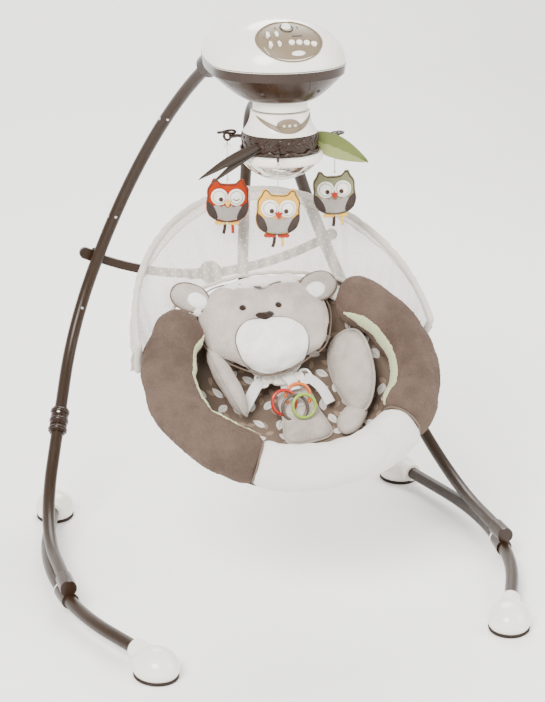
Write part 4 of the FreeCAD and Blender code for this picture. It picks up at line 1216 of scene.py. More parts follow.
def ring_on(name, skin, centre, radii, z, material, body, thick, count=96):
    """A bead lying on a solid's side at one height."""
    line = []
    for k in range(count):
        angle = 2.0 * math.pi * k / count
        away = level_way(angle)
        start = Vector((centre.x, centre.y, z)) + away * radii
        place, _ = skin.hit(start, -away)
        if place is not None:
            line.append(place)
    obj = tube(name, line, thick, material, 8, closed=True)
    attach(obj, body)
    return obj


def head_trim():
    """Seam bead, screws and parting line of the motor's housing, drawn dark as painted shade of the gap
    between the shells and of the screw wells.
    """
    top_low, top_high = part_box("head_top_shell")
    lower = node_skin("head_lower_shell")
    upper = node_skin("head_top_shell")
    centre = (top_low + top_high) / 2.0
    # the seam bead is dark painted shade in the gap between the two shells
    ring_on("head_seam", upper, centre, 0.6, top_low.z + 0.0016, finish("recess_painted_shade"), "motor_head", 0.0007,
            160)
    screws = []
    for angle in (-128.0, -52.0, 62.0, 118.0):
        away = Vector((math.cos(math.radians(angle)), math.sin(math.radians(angle)), 0.0))
        screws += spot_on(lower, Vector((0.0, SWING_Y, 0.958)) + away * 0.4, -away, Vector((0.0, 0.0, 1.0)))
    # screws drawn dark, as painted shade of their wells
    repeated("head_screws", PATTERNS["screw"], screws, sizes().screw * 0.9, finish("recess_painted_shade"),
             "motor_head")
    parting = []
    for step in range(20):
        z = 0.986 - step * 0.0023
        place, _ = lower.hit(Vector((0.0295, -1.0, z)), Vector((0.0, 1.0, 0.0)))
        if place is not None:
            parting.append(place)
    # the parting line is a thin dark line of painted shade
    line = tube("head_parting_line", parting, 0.0005, finish("recess_painted_shade"), 6)
    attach(line, "motor_head")


class Panel:
    """Flat drawing (u right, v up) laid on the control panel's curved face."""

    def __init__(self, node, extra=()):
        self.skins = [node_skin(name) for name in (node,) + tuple(extra)]
        low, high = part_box(node)
        self.centre = (low + high) / 2.0
        tilt = math.radians(33.0)
        self.right = Vector((1.0, 0.0, 0.0))
        self.out = Vector((0.0, -math.sin(math.pi / 2 - tilt), math.cos(math.pi / 2 - tilt)))
        self.up = self.out.cross(self.right).normalized()

    def lay(self, u, v, lift):
        start = self.centre + self.right * u + self.up * v + self.out * 0.2
        best = None
        for skin in self.skins:
            place, normal = skin.hit(start, -self.out)
            if place is not None and (best is None or (place - start).length < (best[0] - start).length):
                best = (place, normal)
        if best is None:
            place, normal = self.skins[0].nearest(start - self.out * 0.2)
            return place + self.out * lift
        normal = best[1] if best[1].dot(self.out) > 0.0 else -best[1]
        return best[0] + normal * lift


def panel_patch(name, panel, outline, thick, material, body, rings=3, crown=0.0):
    obj = patch(name, outline, panel.lay, thick, finish(material), rings, crown)
    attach(obj, body)
    return obj


def panel_line(name, panel, corners, radius, material, body, closed=False):
    line = [panel.lay(x, y, radius * 0.3) for x, y in corners]
    obj = tube(name, line, radius, finish(material), 8, closed=closed)
    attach(obj, body)
    return obj


def panel_trim():
    """Lip, recesses drawn dark as painted shade, generic marks and blank badge of the control panel."""
    panel = Panel("control_panel")
    body = "motor_head"
    half_u = 0.062
    half_v = 0.048
    rim = [(math.cos(a) * half_u * 0.955, math.sin(a) * half_v * 0.955)
           for a in round_angles(96)]
    panel_line("panel_lip", Panel("control_panel", ("head_top_shell",)), rim, 0.0015, "taupe_satin", body,
               True)
    ring = [(0.0112 * math.cos(a), 0.028 + 0.0112 * math.sin(a)) for a in round_angles(40)]
    # painted shade: a dark ring in the gap round the power button
    panel_line("power_recess", panel, ring, 0.0013, "recess_painted_shade", body, True)
    marks = []
    for index, (u, v) in enumerate(((-0.0200, 0.0285), (0.0205, 0.0270))):
        marks.append(patch("mark_%d" % index, oval(u, v, 0.0016, 0.0024, 20), panel.lay, 0.0003,
                           finish("icon_ink"), 2))
        marks.append(patch("mark_dot_%d" % index, oval(u, v + 0.0042, 0.0010, 0.0010, 16), panel.lay, 0.0003,
                           finish("icon_ink"), 2))
    for index in range(4):
        u = (index - 1.5) * 0.014 + 0.0135
        for bar in range(index + 1):
            marks.append(patch("bar_%d_%d" % (index, bar),
                               oval(u - 0.0016 + bar * 0.0013, -0.0052 + bar * 0.0003, 0.0003,
                                    0.0008 + 0.0003 * bar, 12),
                               panel.lay, 0.0003, finish("icon_ink"), 2))
    # the slot is a dark patch of painted shade
    marks.append(patch("slot_mark", oval(0.014, 0.0065, 0.0100, 0.0017, 32, 0.06, 5.0), panel.lay, 0.0003,
                       finish("recess_painted_shade"), 2))
    for index, (u, v) in enumerate(((-0.0455, 0.0085), (-0.0405, -0.0150))):
        marks.append(patch("rocker_mark_%d" % index, oval(u, v, 0.0012, 0.0012, 16), panel.lay, 0.0003,
                           finish("icon_ink"), 2))
    printed = joined("panel_marks", marks)
    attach(printed, body)
    panel_patch("panel_badge", panel, oval(0.0085, -0.0305, 0.0130, 0.0048, 40, 0.04), 0.0008, "cream_satin",
                body,
                4, 0.0004)
    curve = [(-0.050 + 0.010 * t, -0.012 - 0.026 * t + 0.004 * t * t) for t in [k / 14 for k in range(15)]]
    panel_line("panel_line", panel, curve, 0.00035, "cream_satin", body)


def turret_trim():
    """The swoosh across the bell and the selector's marks."""
    bell = Panel("turret_bell", ("selector_button",))
    bell.centre = Vector((0.0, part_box("turret_bell")[0].y, 0.897))
    bell.out = Vector((0.0, -1.0, 0.0))
    bell.up = Vector((0.0, 0.0, 1.0))
    count = 44
    edge = []
    for k in range(count + 1):
        t = k / count * 2.0 - 1.0
        edge.append(Vector((t * 0.051, 0.0130 - 0.0275 * (1.0 - t * t) ** 0.75)))
    for k in range(count, -1, -1):
        t = k / count * 2.0 - 1.0
        edge.append(Vector((t * 0.051, 0.0138 - 0.0180 * (1.0 - t * t) ** 1.1)))
    half = count + 1
    points = []
    for a, b in zip(edge[:half], reversed(edge[half:])):
        for share in (0.0, 0.0, 0.25, 0.5, 0.75, 1.0, 1.0):
            points.append((a + (b - a) * share, share))
    verts = []
    for index, (at, share) in enumerate(points):
        column = index % 7
        lift = -0.0010 if column in (0, 6) else 0.0011
        verts.append(bell.lay(at.x, at.y, lift))
    faces = []
    for i in range(half - 1):
        for j in range(6):
            a = i * 7 + j
            faces.append((a, a + 7, a + 8, a + 1))
    swoosh = mesh_piece("bell_swoosh", verts, faces, finish("taupe_satin"))
    tidy_normals(swoosh, 1e-7)
    turn_outward(swoosh, Vector((0.0, -1.0, 0.0)))
    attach(swoosh, "turret")
    button = Panel("selector_button")
    button.centre = middle("selector_button")
    button.out = Vector((0.0, -1.0, 0.0))
    button.up = Vector((0.0, 0.0, 1.0))
    marks = [patch("selector_mark_%d" % index, oval((index - 1) * 0.0105, 0.0, 0.0022, 0.0022, 20, 0.0, 6.0),
                   button.lay,
                   0.0003, finish("cream_satin"), 2) for index in range(3)]
    marks += [patch("selector_dot_%d" % index, oval((index - 1) * 0.0105, 0.0, 0.0009, 0.0012, 14),
                    button.lay,
                    0.0006, finish("icon_ink"), 2) for index in range(3)]
    printed = joined("selector_marks", marks)
    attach(printed, "selector_button")


def turn_outward(obj, direction):
    """Face an open piece's skin towards a direction."""
    mesh = obj.data
    total = Vector((0.0, 0.0, 0.0))
    for polygon in mesh.polygons:
        total += polygon.normal * polygon.area
    if total.dot(direction) < 0.0:
        mesh.flip_normals()


# ---------------------------------------------------------------- mobile

MOBILE_RADIUS = 0.0705


def mobile_trim():
    """Embossed leaves, the wavy edge, loops and felt leaves of the mobile."""
    centre = Vector((0.0, SWING_Y, 0.0))
    skin = node_skin("mobile_ring")
    count = 220
    wave = []
    for k in range(count):
        angle = 2.0 * math.pi * k / count
        away = level_way(angle)
        z = 0.8455 + 0.0022 * math.sin(angle * 11.0) + 0.0010 * math.sin(angle * 23.0)
        wave.append(centre + away * (MOBILE_RADIUS + 0.0014) + Vector((0.0, 0.0, z)))
    edge = tube("mobile_wave", wave, 0.0026, finish("gloss_brown"), 8, closed=True, flat=1.25)
    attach(edge, "mobile")
    spots = []
    leaves = sizes().rib_count
    for row, (z, tilt) in enumerate(((0.8665, 0.5), (0.8575, -0.6))):
        for k in range(leaves):
            angle = 2.0 * math.pi * (k + row * 0.5) / leaves
            away = level_way(angle)
            place, _ = skin.hit(Vector((0.0, SWING_Y, z)) + away * 0.11, -away)
            if place is None or abs(math.hypot(place.x, place.y - SWING_Y) - MOBILE_RADIUS) > 0.004:
                continue
            around = Vector((-away.y, away.x, 0.0))
            heading = around * math.cos(tilt) + Vector((0.0, 0.0, 1.0)) * math.sin(tilt)
            spots.append((place, away, heading))
    repeated("mobile_leaves", PATTERNS["leaf"], spots, 0.0165, finish("gloss_brown"), "mobile", 0.15)
    rim_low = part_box("mobile_bezel")[0]
    bead = [centre + Vector((math.cos(a) * 0.0742, math.sin(a) * 0.0742, rim_low.z + 0.0012))
            for a in round_angles(120)]
    rim = tube("mirror_bead", bead, 0.0012, finish("cream_gloss"), 8, closed=True)
    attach(rim, "mobile")
    medallion()
    felt_leaves()


def medallion():
    """The flat oval loop on one twig and the spoked wheel on another."""
    wheel = []
    centre = Vector((0.1165, SWING_Y + 0.022, 0.8600))
    for radius in (0.0125, 0.0050):
        wheel.append(tube("rim", [centre + Vector((radius * math.cos(a), radius * 0.9 * math.sin(a),
                                                   0.10 * radius * math.cos(a)))
                                  for a in round_angles(36)], 0.0019, finish("gloss_brown"), 8,
                          closed=True))
    for k in range(5):
        a = 2.0 * math.pi * k / 5
        inner = Vector((0.0048 * math.cos(a), 0.0043 * math.sin(a), 0.0))
        outer = Vector((0.0125 * math.cos(a), 0.0112 * math.sin(a), 0.0012 * math.cos(a)))
        wheel.append(tube("spoke", [centre + inner + (outer - inner) * t for t in (0.0, 0.33, 0.66, 1.0)],
                          0.0015,
                          finish("gloss_brown"), 8))
    spoked = joined("mobile_wheel", wheel)
    left = Vector((-0.0785, SWING_Y + 0.086, 0.8600))
    oval_line = [left + Vector((0.0165 * math.cos(a), 0.0085 * math.sin(a), 0.0016 * math.sin(a * 2.0)))
                 for a in round_angles(40)]
    loop = tube("mobile_oval", oval_line, 0.0024, finish("gloss_brown"), 10, closed=True)
    for obj in (spoked, loop):
        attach(obj, "mobile")


def felt_leaf(name, root, tip, half_width, material, curl, sag, roll):
    """One felt leaf, from its root to its tip, creased along its middle and rolled towards the front."""
    along = tip - root
    side = Matrix.Rotation(math.radians(roll), 3, along) @ along.cross(Vector((0.0, 0.0, 1.0))).normalized()
    normal = side.cross(along.normalized())
    count_u = 22
    count_v = 9
    thick = 0.0011

    def place(u, v):
        w = math.sin(math.pi * min(u * 0.94 + 0.06, 1.0)) ** 0.75 * (1.15 - 0.45 * u)
        across = (v - 0.5) * 2.0
        crease = abs(across) * 0.22 * half_width
        return (root + along * u + side * (across * half_width * w) + normal * (crease
                + curl * math.sin(u * 3.0))
                - Vector((0.0, 0.0, sag * u * u)))

    obj = surface(name, place, count_u, count_v, finish(material))
    tidy_normals(obj, 1e-6)
    thickened(obj, thick, 0.0)
    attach(obj, "mobile")
    return obj


def felt_leaves():
    """A green leaf by one toy, and a dark pair by another."""
    right = Vector((0.052, SWING_Y + 0.006, 0.858))
    felt_leaf("leaf_right", right, Vector((0.1600, SWING_Y - 0.030, 0.818)), 0.0250, "felt_green", 0.004,
              0.006, 52.0)
    left = Vector((-0.0440, SWING_Y - 0.040, 0.862))
    felt_leaf("leaf_left_long", left, Vector((-0.1700, SWING_Y - 0.062, 0.812)), 0.0098, "felt_dark", 0.003,
              0.004, -40.0)
    felt_leaf("leaf_left_short", left + Vector((0.004, 0.004, -0.004)),
              Vector((-0.1480, SWING_Y - 0.072, 0.806)), 0.0078,
              "felt_dark", 0.003, 0.004, -30.0)


# ---------------------------------------------------------------- seat

def roll_path(angle):
    """Centreline of the rolls, level seat drawing."""
    return ROLL_HALF_X * math.cos(angle), ROLL_S + ROLL_HALF_S * math.sin(angle)


def roll_out(angle):
    out = Vector((math.cos(angle) / ROLL_HALF_X, math.sin(angle) / ROLL_HALF_S, 0.0))
    return out.normalized()


def roll_piece(name, start, end, finish_name, wide, high, shift, lumps, seed, ends=(0.25, 0.25)):
    """One stuffed length of the seat's rim."""
    along, around = 120, 48

    def place(u, v):
        angle = start + (end - start) * u
        x, s = roll_path(angle)
        out = roll_out(angle)
        turn = 2.0 * math.pi * v
        near = 1.0
        for edge, share in ((u, ends[0]), (1.0 - u, ends[1])):
            reach = 0.10
            if edge < reach:
                near = min(near, share + (1.0 - share) * math.sqrt(max(0.0, 1.0 - (1.0 - edge / reach) ** 2)))
        lump = 1.0 + lumps * (noise.noise(Vector((u * 7.0 + seed, math.cos(turn) * 0.9,
                                                  math.sin(turn) * 0.9)))
                              + 0.6 * noise.noise(Vector((u * 15.0 + seed * 2.0, math.cos(turn) * 1.6,
                                                          seed))))
        a = (wide * math.cos(turn) * near * lump) + shift
        b = high * math.sin(turn) * near * lump
        return seat_point(x + out.x * a, s + out.y * a, b)

    obj = surface(name, place, along, around, finish(finish_name), loop_v=True)
    shape = bmesh.new()
    shape.from_mesh(obj.data)
    shape.verts.ensure_lookup_table()
    for base in (0, (along - 1) * around):
        shape.faces.new([shape.verts[base + k] for k in range(around)])
    bmesh.ops.recalc_face_normals(shape, faces=shape.faces)
    shape.to_mesh(obj.data)
    shape.free()
    return obj


def fresh_material(obj, finish_name):
    """A remesh can drop the material: put it back."""
    obj.data.materials.clear()
    obj.data.materials.append(finish(finish_name))


def plush_nap(obj, amount, pitch, seed):
    """Fine tufts, by moving the points of a dense mesh."""
    ruffled(obj, amount * 0.8, pitch * 3.2, seed)
    return ruffled(obj, amount, pitch, seed + 1)


def seat_rolls():
    """The three stuffed rolls round the seat, their trim and seams."""
    made = {}
    left = roll_piece("plush_left", math.radians(137.0), math.radians(243.2), "brown_plush", 0.0495, 0.043,
                      -0.003, 0.10,
                      3.0, (0.30, 0.78))
    right = roll_piece("plush_right", math.radians(-40.2), math.radians(57.0), "brown_plush", 0.0500, 0.0435,
                       -0.003, 0.10,
                       8.0, (0.80, 0.30))
    front = roll_piece("front_bolster", math.radians(243.0), math.radians(320.0), "cotton", 0.0445, 0.0415,
                       -0.0005, 0.05,
                       5.0, (0.84, 0.84))
    for name, obj, node, material, cap in (("left", left, "left_roll", "brown_plush", 0.007),
                                           ("right", right, "right_roll", "brown_plush", 0.007),
                                           ("front", front, "front_roll", "cotton", 0.005)):
        swollen(obj, 0.0055, 4.0, cap)
        fresh_material(obj, material)
        if name == "front":
            ruffled(obj, 0.0011, 0.016, 12)
            ruffled(obj, 0.0030, 0.045, 14)
            ruffled(obj, 0.0022, 0.024, 15)
        else:
            plush_nap(obj, 0.0010, 0.0042, 21)
            ruffled(obj, 0.0045, 0.055, 4)
        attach(obj, "seat")
        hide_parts(node)
        "brown_plush" if name != "front" else "cream_fabric"
        made[name] = obj
    roll_trim("left", made["left"], math.radians(143.0), math.radians(238.0))
    roll_trim("right", made["right"], math.radians(-38.5), math.radians(50.0))
    for name, angle in (("left", math.radians(243.1)), ("right", math.radians(320.0 - 360.0 - 0.1))):
        roll_seam(name, angle)
    front_pleats(made["front"])


def roll_trim(side, obj, start, end):
    """A pale band of cotton sewn along the roll's inner side, gathered between its stitches."""
    skin = Skin(obj)
    count = 150
    rows = 7
    points = []
    uv = []
    walked = 0.0
    before = None
    for i in range(count):
        t = i / (count - 1)
        angle = start + (end - start) * t
        x, s = roll_path(angle)
        out = roll_out(angle)
        taper = min(1.0, 6.0 * min(t, 1.0 - t) + 0.12)
        for j in range(rows):
            turn = math.radians(166.0 + 34.0 * (j / (rows - 1) - 0.5) * taper)
            ray = Vector((out.x * math.cos(turn), out.y * math.cos(turn), math.sin(turn)))
            far = seat_point(x + ray.x * 0.2, s + ray.y * 0.2, ray.z * 0.2)
            near = seat_point(x, s, 0.0)
            place, _ = skin.hit(far, (near - far).normalized())
            if place is None:
                place, _ = skin.nearest(near)
            away = (far - near).normalized()
            edge = abs(j / (rows - 1) - 0.5) * 2.0
            lift = 0.0026 * (1.0 - edge ** 4) + 0.0009 * math.sin(t * 150.0
                    + 4.0 * math.sin(t * 31.0)) * (1.0 - edge * 0.3)
            if j in (0, rows - 1):
                lift = -0.0016
            points.append(place + away * lift)
            if j == rows // 2:
                if before is not None:
                    walked += (place - before).length
                before = place
            uv.append((walked, j * 0.005))
    faces = []
    for i in range(count - 1):
        for j in range(rows - 1):
            a = i * rows + j
            faces.append((a, a + 1, a + rows + 1, a + rows))
    band = mesh_piece("%s_trim" % side, points, faces, finish("trim_green"), uv)
    turn_outward(band, seat_point(0, 0, 0) - seat_point(roll_path((start + end) / 2)[0],
                                                        roll_path((start + end) / 2)[1], 0))
    subdivided(band)
    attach(band, "seat")
    return band


def roll_seam(name, angle):
    """The seam where the pale front meets a plush roll."""
    x, s = roll_path(angle)
    out = roll_out(angle)
    line = []
    for k in range(60):
        turn = 2.0 * math.pi * k / 60
        a = 0.0385 * math.cos(turn) - 0.002
        b = 0.0362 * math.sin(turn)
        line.append(seat_point(x + out.x * a, s + out.y * a, b))
    obj = tube("%s_roll_seam" % name, line, 0.0022, finish("piping"), 8, closed=True)
    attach(obj, "seat")


def front_pleats(obj):
    """A row of stitches along the pale front roll."""
    skin = Skin(obj)
    spots = []
    for turn in (math.radians(128.0),):
        line = []
        normals = []
        for i in range(200):
            angle = math.radians(247.0 + 69.0 * i / 199)
            x, s = roll_path(angle)
            out = roll_out(angle)
            ray = Vector((out.x * math.cos(turn), out.y * math.cos(turn), math.sin(turn)))
            near = seat_point(x, s, 0.0)
            far = seat_point(x + ray.x * 0.2, s + ray.y * 0.2, ray.z * 0.2)
            place, normal = skin.hit(far, (near - far).normalized())
            if place is not None:
                line.append(place)
                normals.append(normal if normal.dot(far - near) > 0.0 else -normal)
        spots += along_line(line, normals, sizes().stitch * 1.6)
    repeated("front_stitches", PATTERNS["stitch"], spots, sizes().stitch, finish("thread_cream"), "seat")


def liner_place(angle, share, lift):
    """A place on the tray's inner lining: share 0 is its bottom and 1 its rim."""
    inset = LINER_INSET + lift
    half_x = BOWL_HALF_X - inset
    half_s = BOWL_HALF_S - inset
    depth = BOWL_DEPTH - inset
    bend = share * math.pi / 2.0
    return (half_x * math.cos(angle) * math.sin(bend), BOWL_S + half_s * math.sin(angle) * math.sin(bend),
            BOWL_TOP - depth * math.cos(bend))


def seat_lining():
    """The printed lining, softly folded, with its rounded edge across the back."""
    def place(u, v):
        angle = 2.0 * math.pi * u
        share = 0.02 + 0.955 * v
        fold = (noise.noise(Vector((math.cos(angle) * 2.2, math.sin(angle) * 2.2, share * 2.5)))
                + 0.45 * noise.noise(Vector((math.cos(angle) * 6.0, math.sin(angle) * 6.0,
                                             share * 7.0 + 3.0))))
        gather = 0.35 * math.sin(angle * 26.0 + 2.0 * math.sin(angle * 3.0)) * share ** 6
        return seat_point(*liner_place(angle, share, 0.0032 + 0.0042 * fold + 0.0034 * gather))

    obj = surface("lining", place, 220, 60, finish("leaf_print"), loop_u=True)
    shape = bmesh.new()
    shape.from_mesh(obj.data)
    shape.verts.ensure_lookup_table()
    shape.faces.new([shape.verts[i * 60] for i in range(220)])
    bmesh.ops.recalc_face_normals(shape, faces=shape.faces)
    shape.to_mesh(obj.data)
    shape.free()
    turn_outward(obj, seat_point(0, 0, 1) - seat_point(0, 0, 0))
    thickened(obj, 0.007, -1.0)
    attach(obj, "seat")
    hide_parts("seat_liner")
    back_lip()


def back_lip():
    """The padded edge of the lining between the two plush rolls, behind the head."""
    line = []
    for k in range(60):
        angle = math.radians(44.0 + 92.0 * k / 59)
        line.append(seat_point((BOWL_HALF_X - 0.014) * math.cos(angle),
                               BOWL_S + (BOWL_HALF_S - 0.012) * math.sin(angle),
                               BOWL_TOP + 0.011 + 0.002 * math.sin(k * 0.9)))
    obj = tube("back_lip", line, 0.0148, finish("cotton"), 24,
               taper=lambda t: 0.55 + 0.45 * min(1.0, 9.0 * min(t, 1.0 - t)))
    subdivided(obj)
    ruffled(obj, 0.0040, 0.024, 6)
    ruffled(obj, 0.0014, 0.007, 9)
    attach(obj, "seat")


# ---------------------------------------------------------------- pads in the seat

class Plane:
    """A leaning plane in the seat drawing: (x, y) on it, and lift off it."""

    def __init__(self, x, s, n, lean, roll=0.0, turn=0.0):
        self.matrix = (Matrix.Translation(Vector((x, s, n))) @ Matrix.Rotation(math.radians(turn), 4, "Z")
                       @ Matrix.Rotation(math.radians(lean), 4, "X") @ Matrix.Rotation(math.radians(roll), 4,
                                                                                       "Y"))

    def at(self, x, y, lift):
        place = self.matrix @ Vector((x, y, lift))
        return seat_point(place.x, place.y, place.z)


def cushion(name, outline, plane, thick, material, rings=16, round_power=2.6, sag=None):
    """A stuffed piece cut to an outline: domed on both faces, with a seam round its edge."""
    centre = sum(outline, Vector((0.0, 0.0))) / len(outline)
    count = len(outline)
    points = []
    for side in (1.0, -1.0):
        points.append(plane.at(centre.x, centre.y,
                               side * thick / 2.0 + (sag(centre.x, centre.y) if sag else 0.0)))
        for ring in range(1, rings + (1 if side > 0 else 0)):
            share = ring / rings
            for corner in outline:
                at = centre + (corner - centre) * share
                lift = side * thick / 2.0 * (max(0.0, 1.0 - share ** round_power)) ** 0.5
                points.append(plane.at(at.x, at.y, lift + (sag(at.x, at.y) if sag else 0.0)))
    faces = []
    top = 0
    bottom = 1 + rings * count
    for k in range(count):
        nxt = (k + 1) % count
        faces.append((top, 1 + k, 1 + nxt))
        faces.append((bottom, bottom + 1 + nxt, bottom + 1 + k))
        for ring in range(rings - 1):
            a = 1 + ring * count
            faces.append((a + k, a + count + k, a + count + nxt, a + nxt))
        for ring in range(rings - 2):
            a = bottom + 1 + ring * count
            faces.append((a + k, a + nxt, a + count + nxt, a + count + k))
        rim = 1 + (rings - 1) * count
        under = bottom + 1 + (rings - 2) * count
        faces.append((rim + k, under + k, under + nxt, rim + nxt))
    obj = mesh_piece(name, points, faces, finish(material))
    shape = bmesh.new()
    shape.from_mesh(obj.data)
    bmesh.ops.recalc_face_normals(shape, faces=shape.faces)
    shape.to_mesh(obj.data)
    shape.free()
    return obj


def piped(name, outline, plane, radius, material, lift=0.0, scale=1.0, sag=None):
    """Piping round an outline."""
    centre = sum(outline, Vector((0.0, 0.0))) / len(outline)
    line = []
    for corner in outline:
        at = centre + (corner - centre) * scale
        line.append(plane.at(at.x, at.y, lift + (sag(corner.x, corner.y) if sag else 0.0)))
    obj = tube(name, line, radius, finish(material), 8, closed=True)
    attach(obj, "seat")
    return obj


def closed_line(corners, count):
    return smooth_line([Vector(corner) for corner in corners], count, closed=True)


BEAR_FACE = ((0.0, 0.080), (-0.052, 0.088), (-0.100, 0.076), (-0.127, 0.040), (-0.130, -0.006),
             (-0.112, -0.048),
             (-0.066, -0.078), (-0.014, -0.098), (0.036, -0.092), (0.076, -0.070), (0.112, -0.048),
             (0.130, -0.006),
             (0.132, 0.036), (0.106, 0.078), (0.056, 0.090))
BEAR_MUZZLE = ((0.002, 0.006), (-0.036, 0.003), (-0.060, -0.016), (-0.065, -0.044), (-0.050, -0.074),
               (-0.014, -0.0955),
               (0.030, -0.0895), (0.066, -0.071), (0.076, -0.040), (0.066, -0.012), (0.038, 0.004))
BEAR_NOSE = ((0.0, 0.0075), (-0.012, 0.0080), (-0.0175, 0.0040), (-0.010, -0.0035), (0.0, -0.0085),
             (0.010, -0.0035),
             (0.0175, 0.0040), (0.012, 0.0080))


def bear_pad():
    """The bear-faced head support, its ears, muzzle and sewn features."""
    plane = Plane(-0.027, 0.106, -0.016, 12.0, 0.0, -2.0)
    face = closed_line(BEAR_FACE, 110)

    def sag(x, y):
        pleat = 0.0
        for centre, lean, depth in ((-0.052, 0.10, 0.0055), (0.010, -0.05, 0.0042), (0.040, 0.08, 0.0026)):
            across = x - centre - (y - 0.05) * lean
            pleat -= depth * math.exp(-(across / 0.006) ** 2) * min(1.0, max(0.0, (y - 0.012) / 0.05))
        for centre, depth in ((-0.020, 0.0035), (0.020, 0.0030)):
            across = x - centre
            pleat -= depth * math.exp(-(across / 0.007) ** 2) * min(1.0, max(0.0, (-0.05 - y) / 0.03))
        return pleat

    head = cushion("bear_face", face, plane, 0.044, "bear_plush", 22, 2.4, sag)
    swollen(head, 0.0045, 3.0, 0.005)
    fresh_material(head, "bear_plush")
    ruffled(head, 0.0018, 0.020, 31)
    ruffled(head, 0.0006, 0.004, 32)
    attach(head, "seat")
    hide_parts("head_pad")
    skin = Skin(head)

    def on_face(x, y, lift):
        start = plane.at(x, y, 0.12)
        aim = plane.at(x, y, -0.12)
        place, normal = skin.hit(start, (aim - start).normalized())
        if place is None:
            return plane.at(x, y, lift)
        if normal.dot(start - aim) < 0.0:
            normal = -normal
        return place + normal * lift

    muzzle = patch("bear_muzzle", closed_line(BEAR_MUZZLE, 84), on_face, 0.0035, finish("white_plush"), 14,
                   0.0085)
    subdivided(muzzle)
    ruffled(muzzle, 0.0012, 0.017, 33)
    nose = patch("bear_nose", [Vector((-0.004, 0.0085)) + corner for corner in closed_line(BEAR_NOSE, 40)],
                 on_face, 0.0068,
                 finish("nose_thread"), 6, 0.0022)
    for obj in (muzzle, nose):
        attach(obj, "seat")
    eyes = []
    for index, (x, y) in enumerate(((-0.0440, 0.0290), (0.0260, 0.0310))):
        eyes.append(patch("eye_%d" % index, oval(x, y, 0.0062, 0.0056, 28), on_face, 0.0016,
                          finish("nose_thread"), 5, 0.0020))
    sewn = joined("bear_eyes", eyes)
    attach(sewn, "seat")
    seam = []
    for corner in closed_line(BEAR_MUZZLE, 120):
        seam.append(on_face(corner.x, corner.y, 0.0008))
    line = tube("muzzle_seam", seam, 0.0011, finish("piping"), 6, closed=True)
    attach(line, "seat")
    piped("bear_edge", face, plane, 0.0014, "piping", 0.0, 0.998, sag)
    for index, (x, y, turn, size) in enumerate(((-0.138, 0.060, 24.0, 0.98), (0.114, 0.070, -20.0, 1.0))):
        ear_plane = Plane(-0.027, 0.106, -0.006, 10.0, 0.0, -2.0)
        outline = oval(x, y, 0.038 * size, 0.029 * size, 56, math.radians(-turn), 2.2)
        ear = cushion("bear_ear_%d" % index, outline, ear_plane, 0.017, "ear_plush", 10, 2.2)
        ruffled(ear, 0.0022, 0.018, 40 + index)
        inner = [Vector((x, y)) + (corner - Vector((x, y))) * 0.52
                 + Vector((0.012 if x < 0 else -0.008, -0.010)) for corner in outline]
        ear_skin = Skin(ear)

        def on_ear(px, py, lift, ear_skin=ear_skin, ear_plane=ear_plane):
            start = ear_plane.at(px, py, 0.1)
            aim = ear_plane.at(px, py, -0.1)
            place, _ = ear_skin.hit(start, (aim - start).normalized())
            if place is None:
                return ear_plane.at(px, py, lift)
            return place + (start - aim).normalized() * lift

        lining = patch("bear_ear_lining_%d" % index, inner, on_ear, 0.0014, finish("white_plush"), 7, 0.0022)
        for obj in (ear, lining):
            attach(obj, "seat")
        piped("ear_edge_%d" % index, outline, ear_plane, 0.0015, "piping", 0.0, 1.003)


def side_supports():
    """The two body supports, stood up at the seat's sides, with piping."""
    left = Plane(-0.1115, 0.000, -0.046, 0.0, 58.0, 14.0)
    right = Plane(0.132, 0.004, -0.044, 0.0, -46.0, 2.0)
    shapes = (("left", left, ((-0.022, 0.078), (-0.036, 0.030), (-0.028, -0.030), (-0.006, -0.068),
                              (0.020, -0.052),
                              (0.034, 0.0), (0.020, 0.052), (-0.004, 0.080)), 0.036),
              ("right", right, ((0.000, 0.088), (-0.034, 0.072), (-0.047, 0.028), (-0.040, -0.034),
                                (-0.018, -0.080),
                                (0.012, -0.076), (0.038, -0.030), (0.044, 0.034), (0.032, 0.076)), 0.040))
    for side, plane, corners, thick in shapes:
        outline = closed_line(corners, 90)
        obj = cushion("%s_wing" % side, outline, plane, thick, "bear_plush", 18, 2.4)
        swollen(obj, 0.0045, 3.0, 0.006)
        fresh_material(obj, "bear_plush")
        ruffled(obj, 0.0022, 0.030, 51)
        ruffled(obj, 0.0005, 0.004, 52)
        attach(obj, "seat")
        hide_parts("%s_support" % side)
        piped("%s_wing_edge" % side, outline, plane, 0.0026, "ear_plush", 0.0, 1.006)
    low = Plane(0.112, -0.086, -0.062, 0.0, -30.0, -38.0)
    outline = closed_line(((0.0, 0.042), (-0.024, 0.020), (-0.026, -0.018), (0.0, -0.040), (0.022, -0.020),
                           (0.022, 0.022)),
                          60)
    obj = cushion("right_low_wing", outline, low, 0.026, "bear_plush", 12, 2.4)
    ruffled(obj, 0.0016, 0.022, 53)
    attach(obj, "seat")


def crotch():
    """The pad between the legs and its piping."""
    plane = Plane(0.018, -0.060, -0.074, 6.0, 0.0, 8.0)
    outline = closed_line(((-0.026, 0.046), (-0.036, 0.0), (-0.044, -0.048), (0.0, -0.058), (0.046, -0.050),
                           (0.038, 0.0),
                           (0.028, 0.046)), 80)
    obj = cushion("crotch_cushion", outline, plane, 0.018, "bear_plush", 14, 2.8)
    ruffled(obj, 0.0014, 0.022, 61)
    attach(obj, "seat")
    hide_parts("crotch_pad")
    piped("crotch_edge", outline, plane, 0.0021, "ear_plush", 0.0, 1.004)


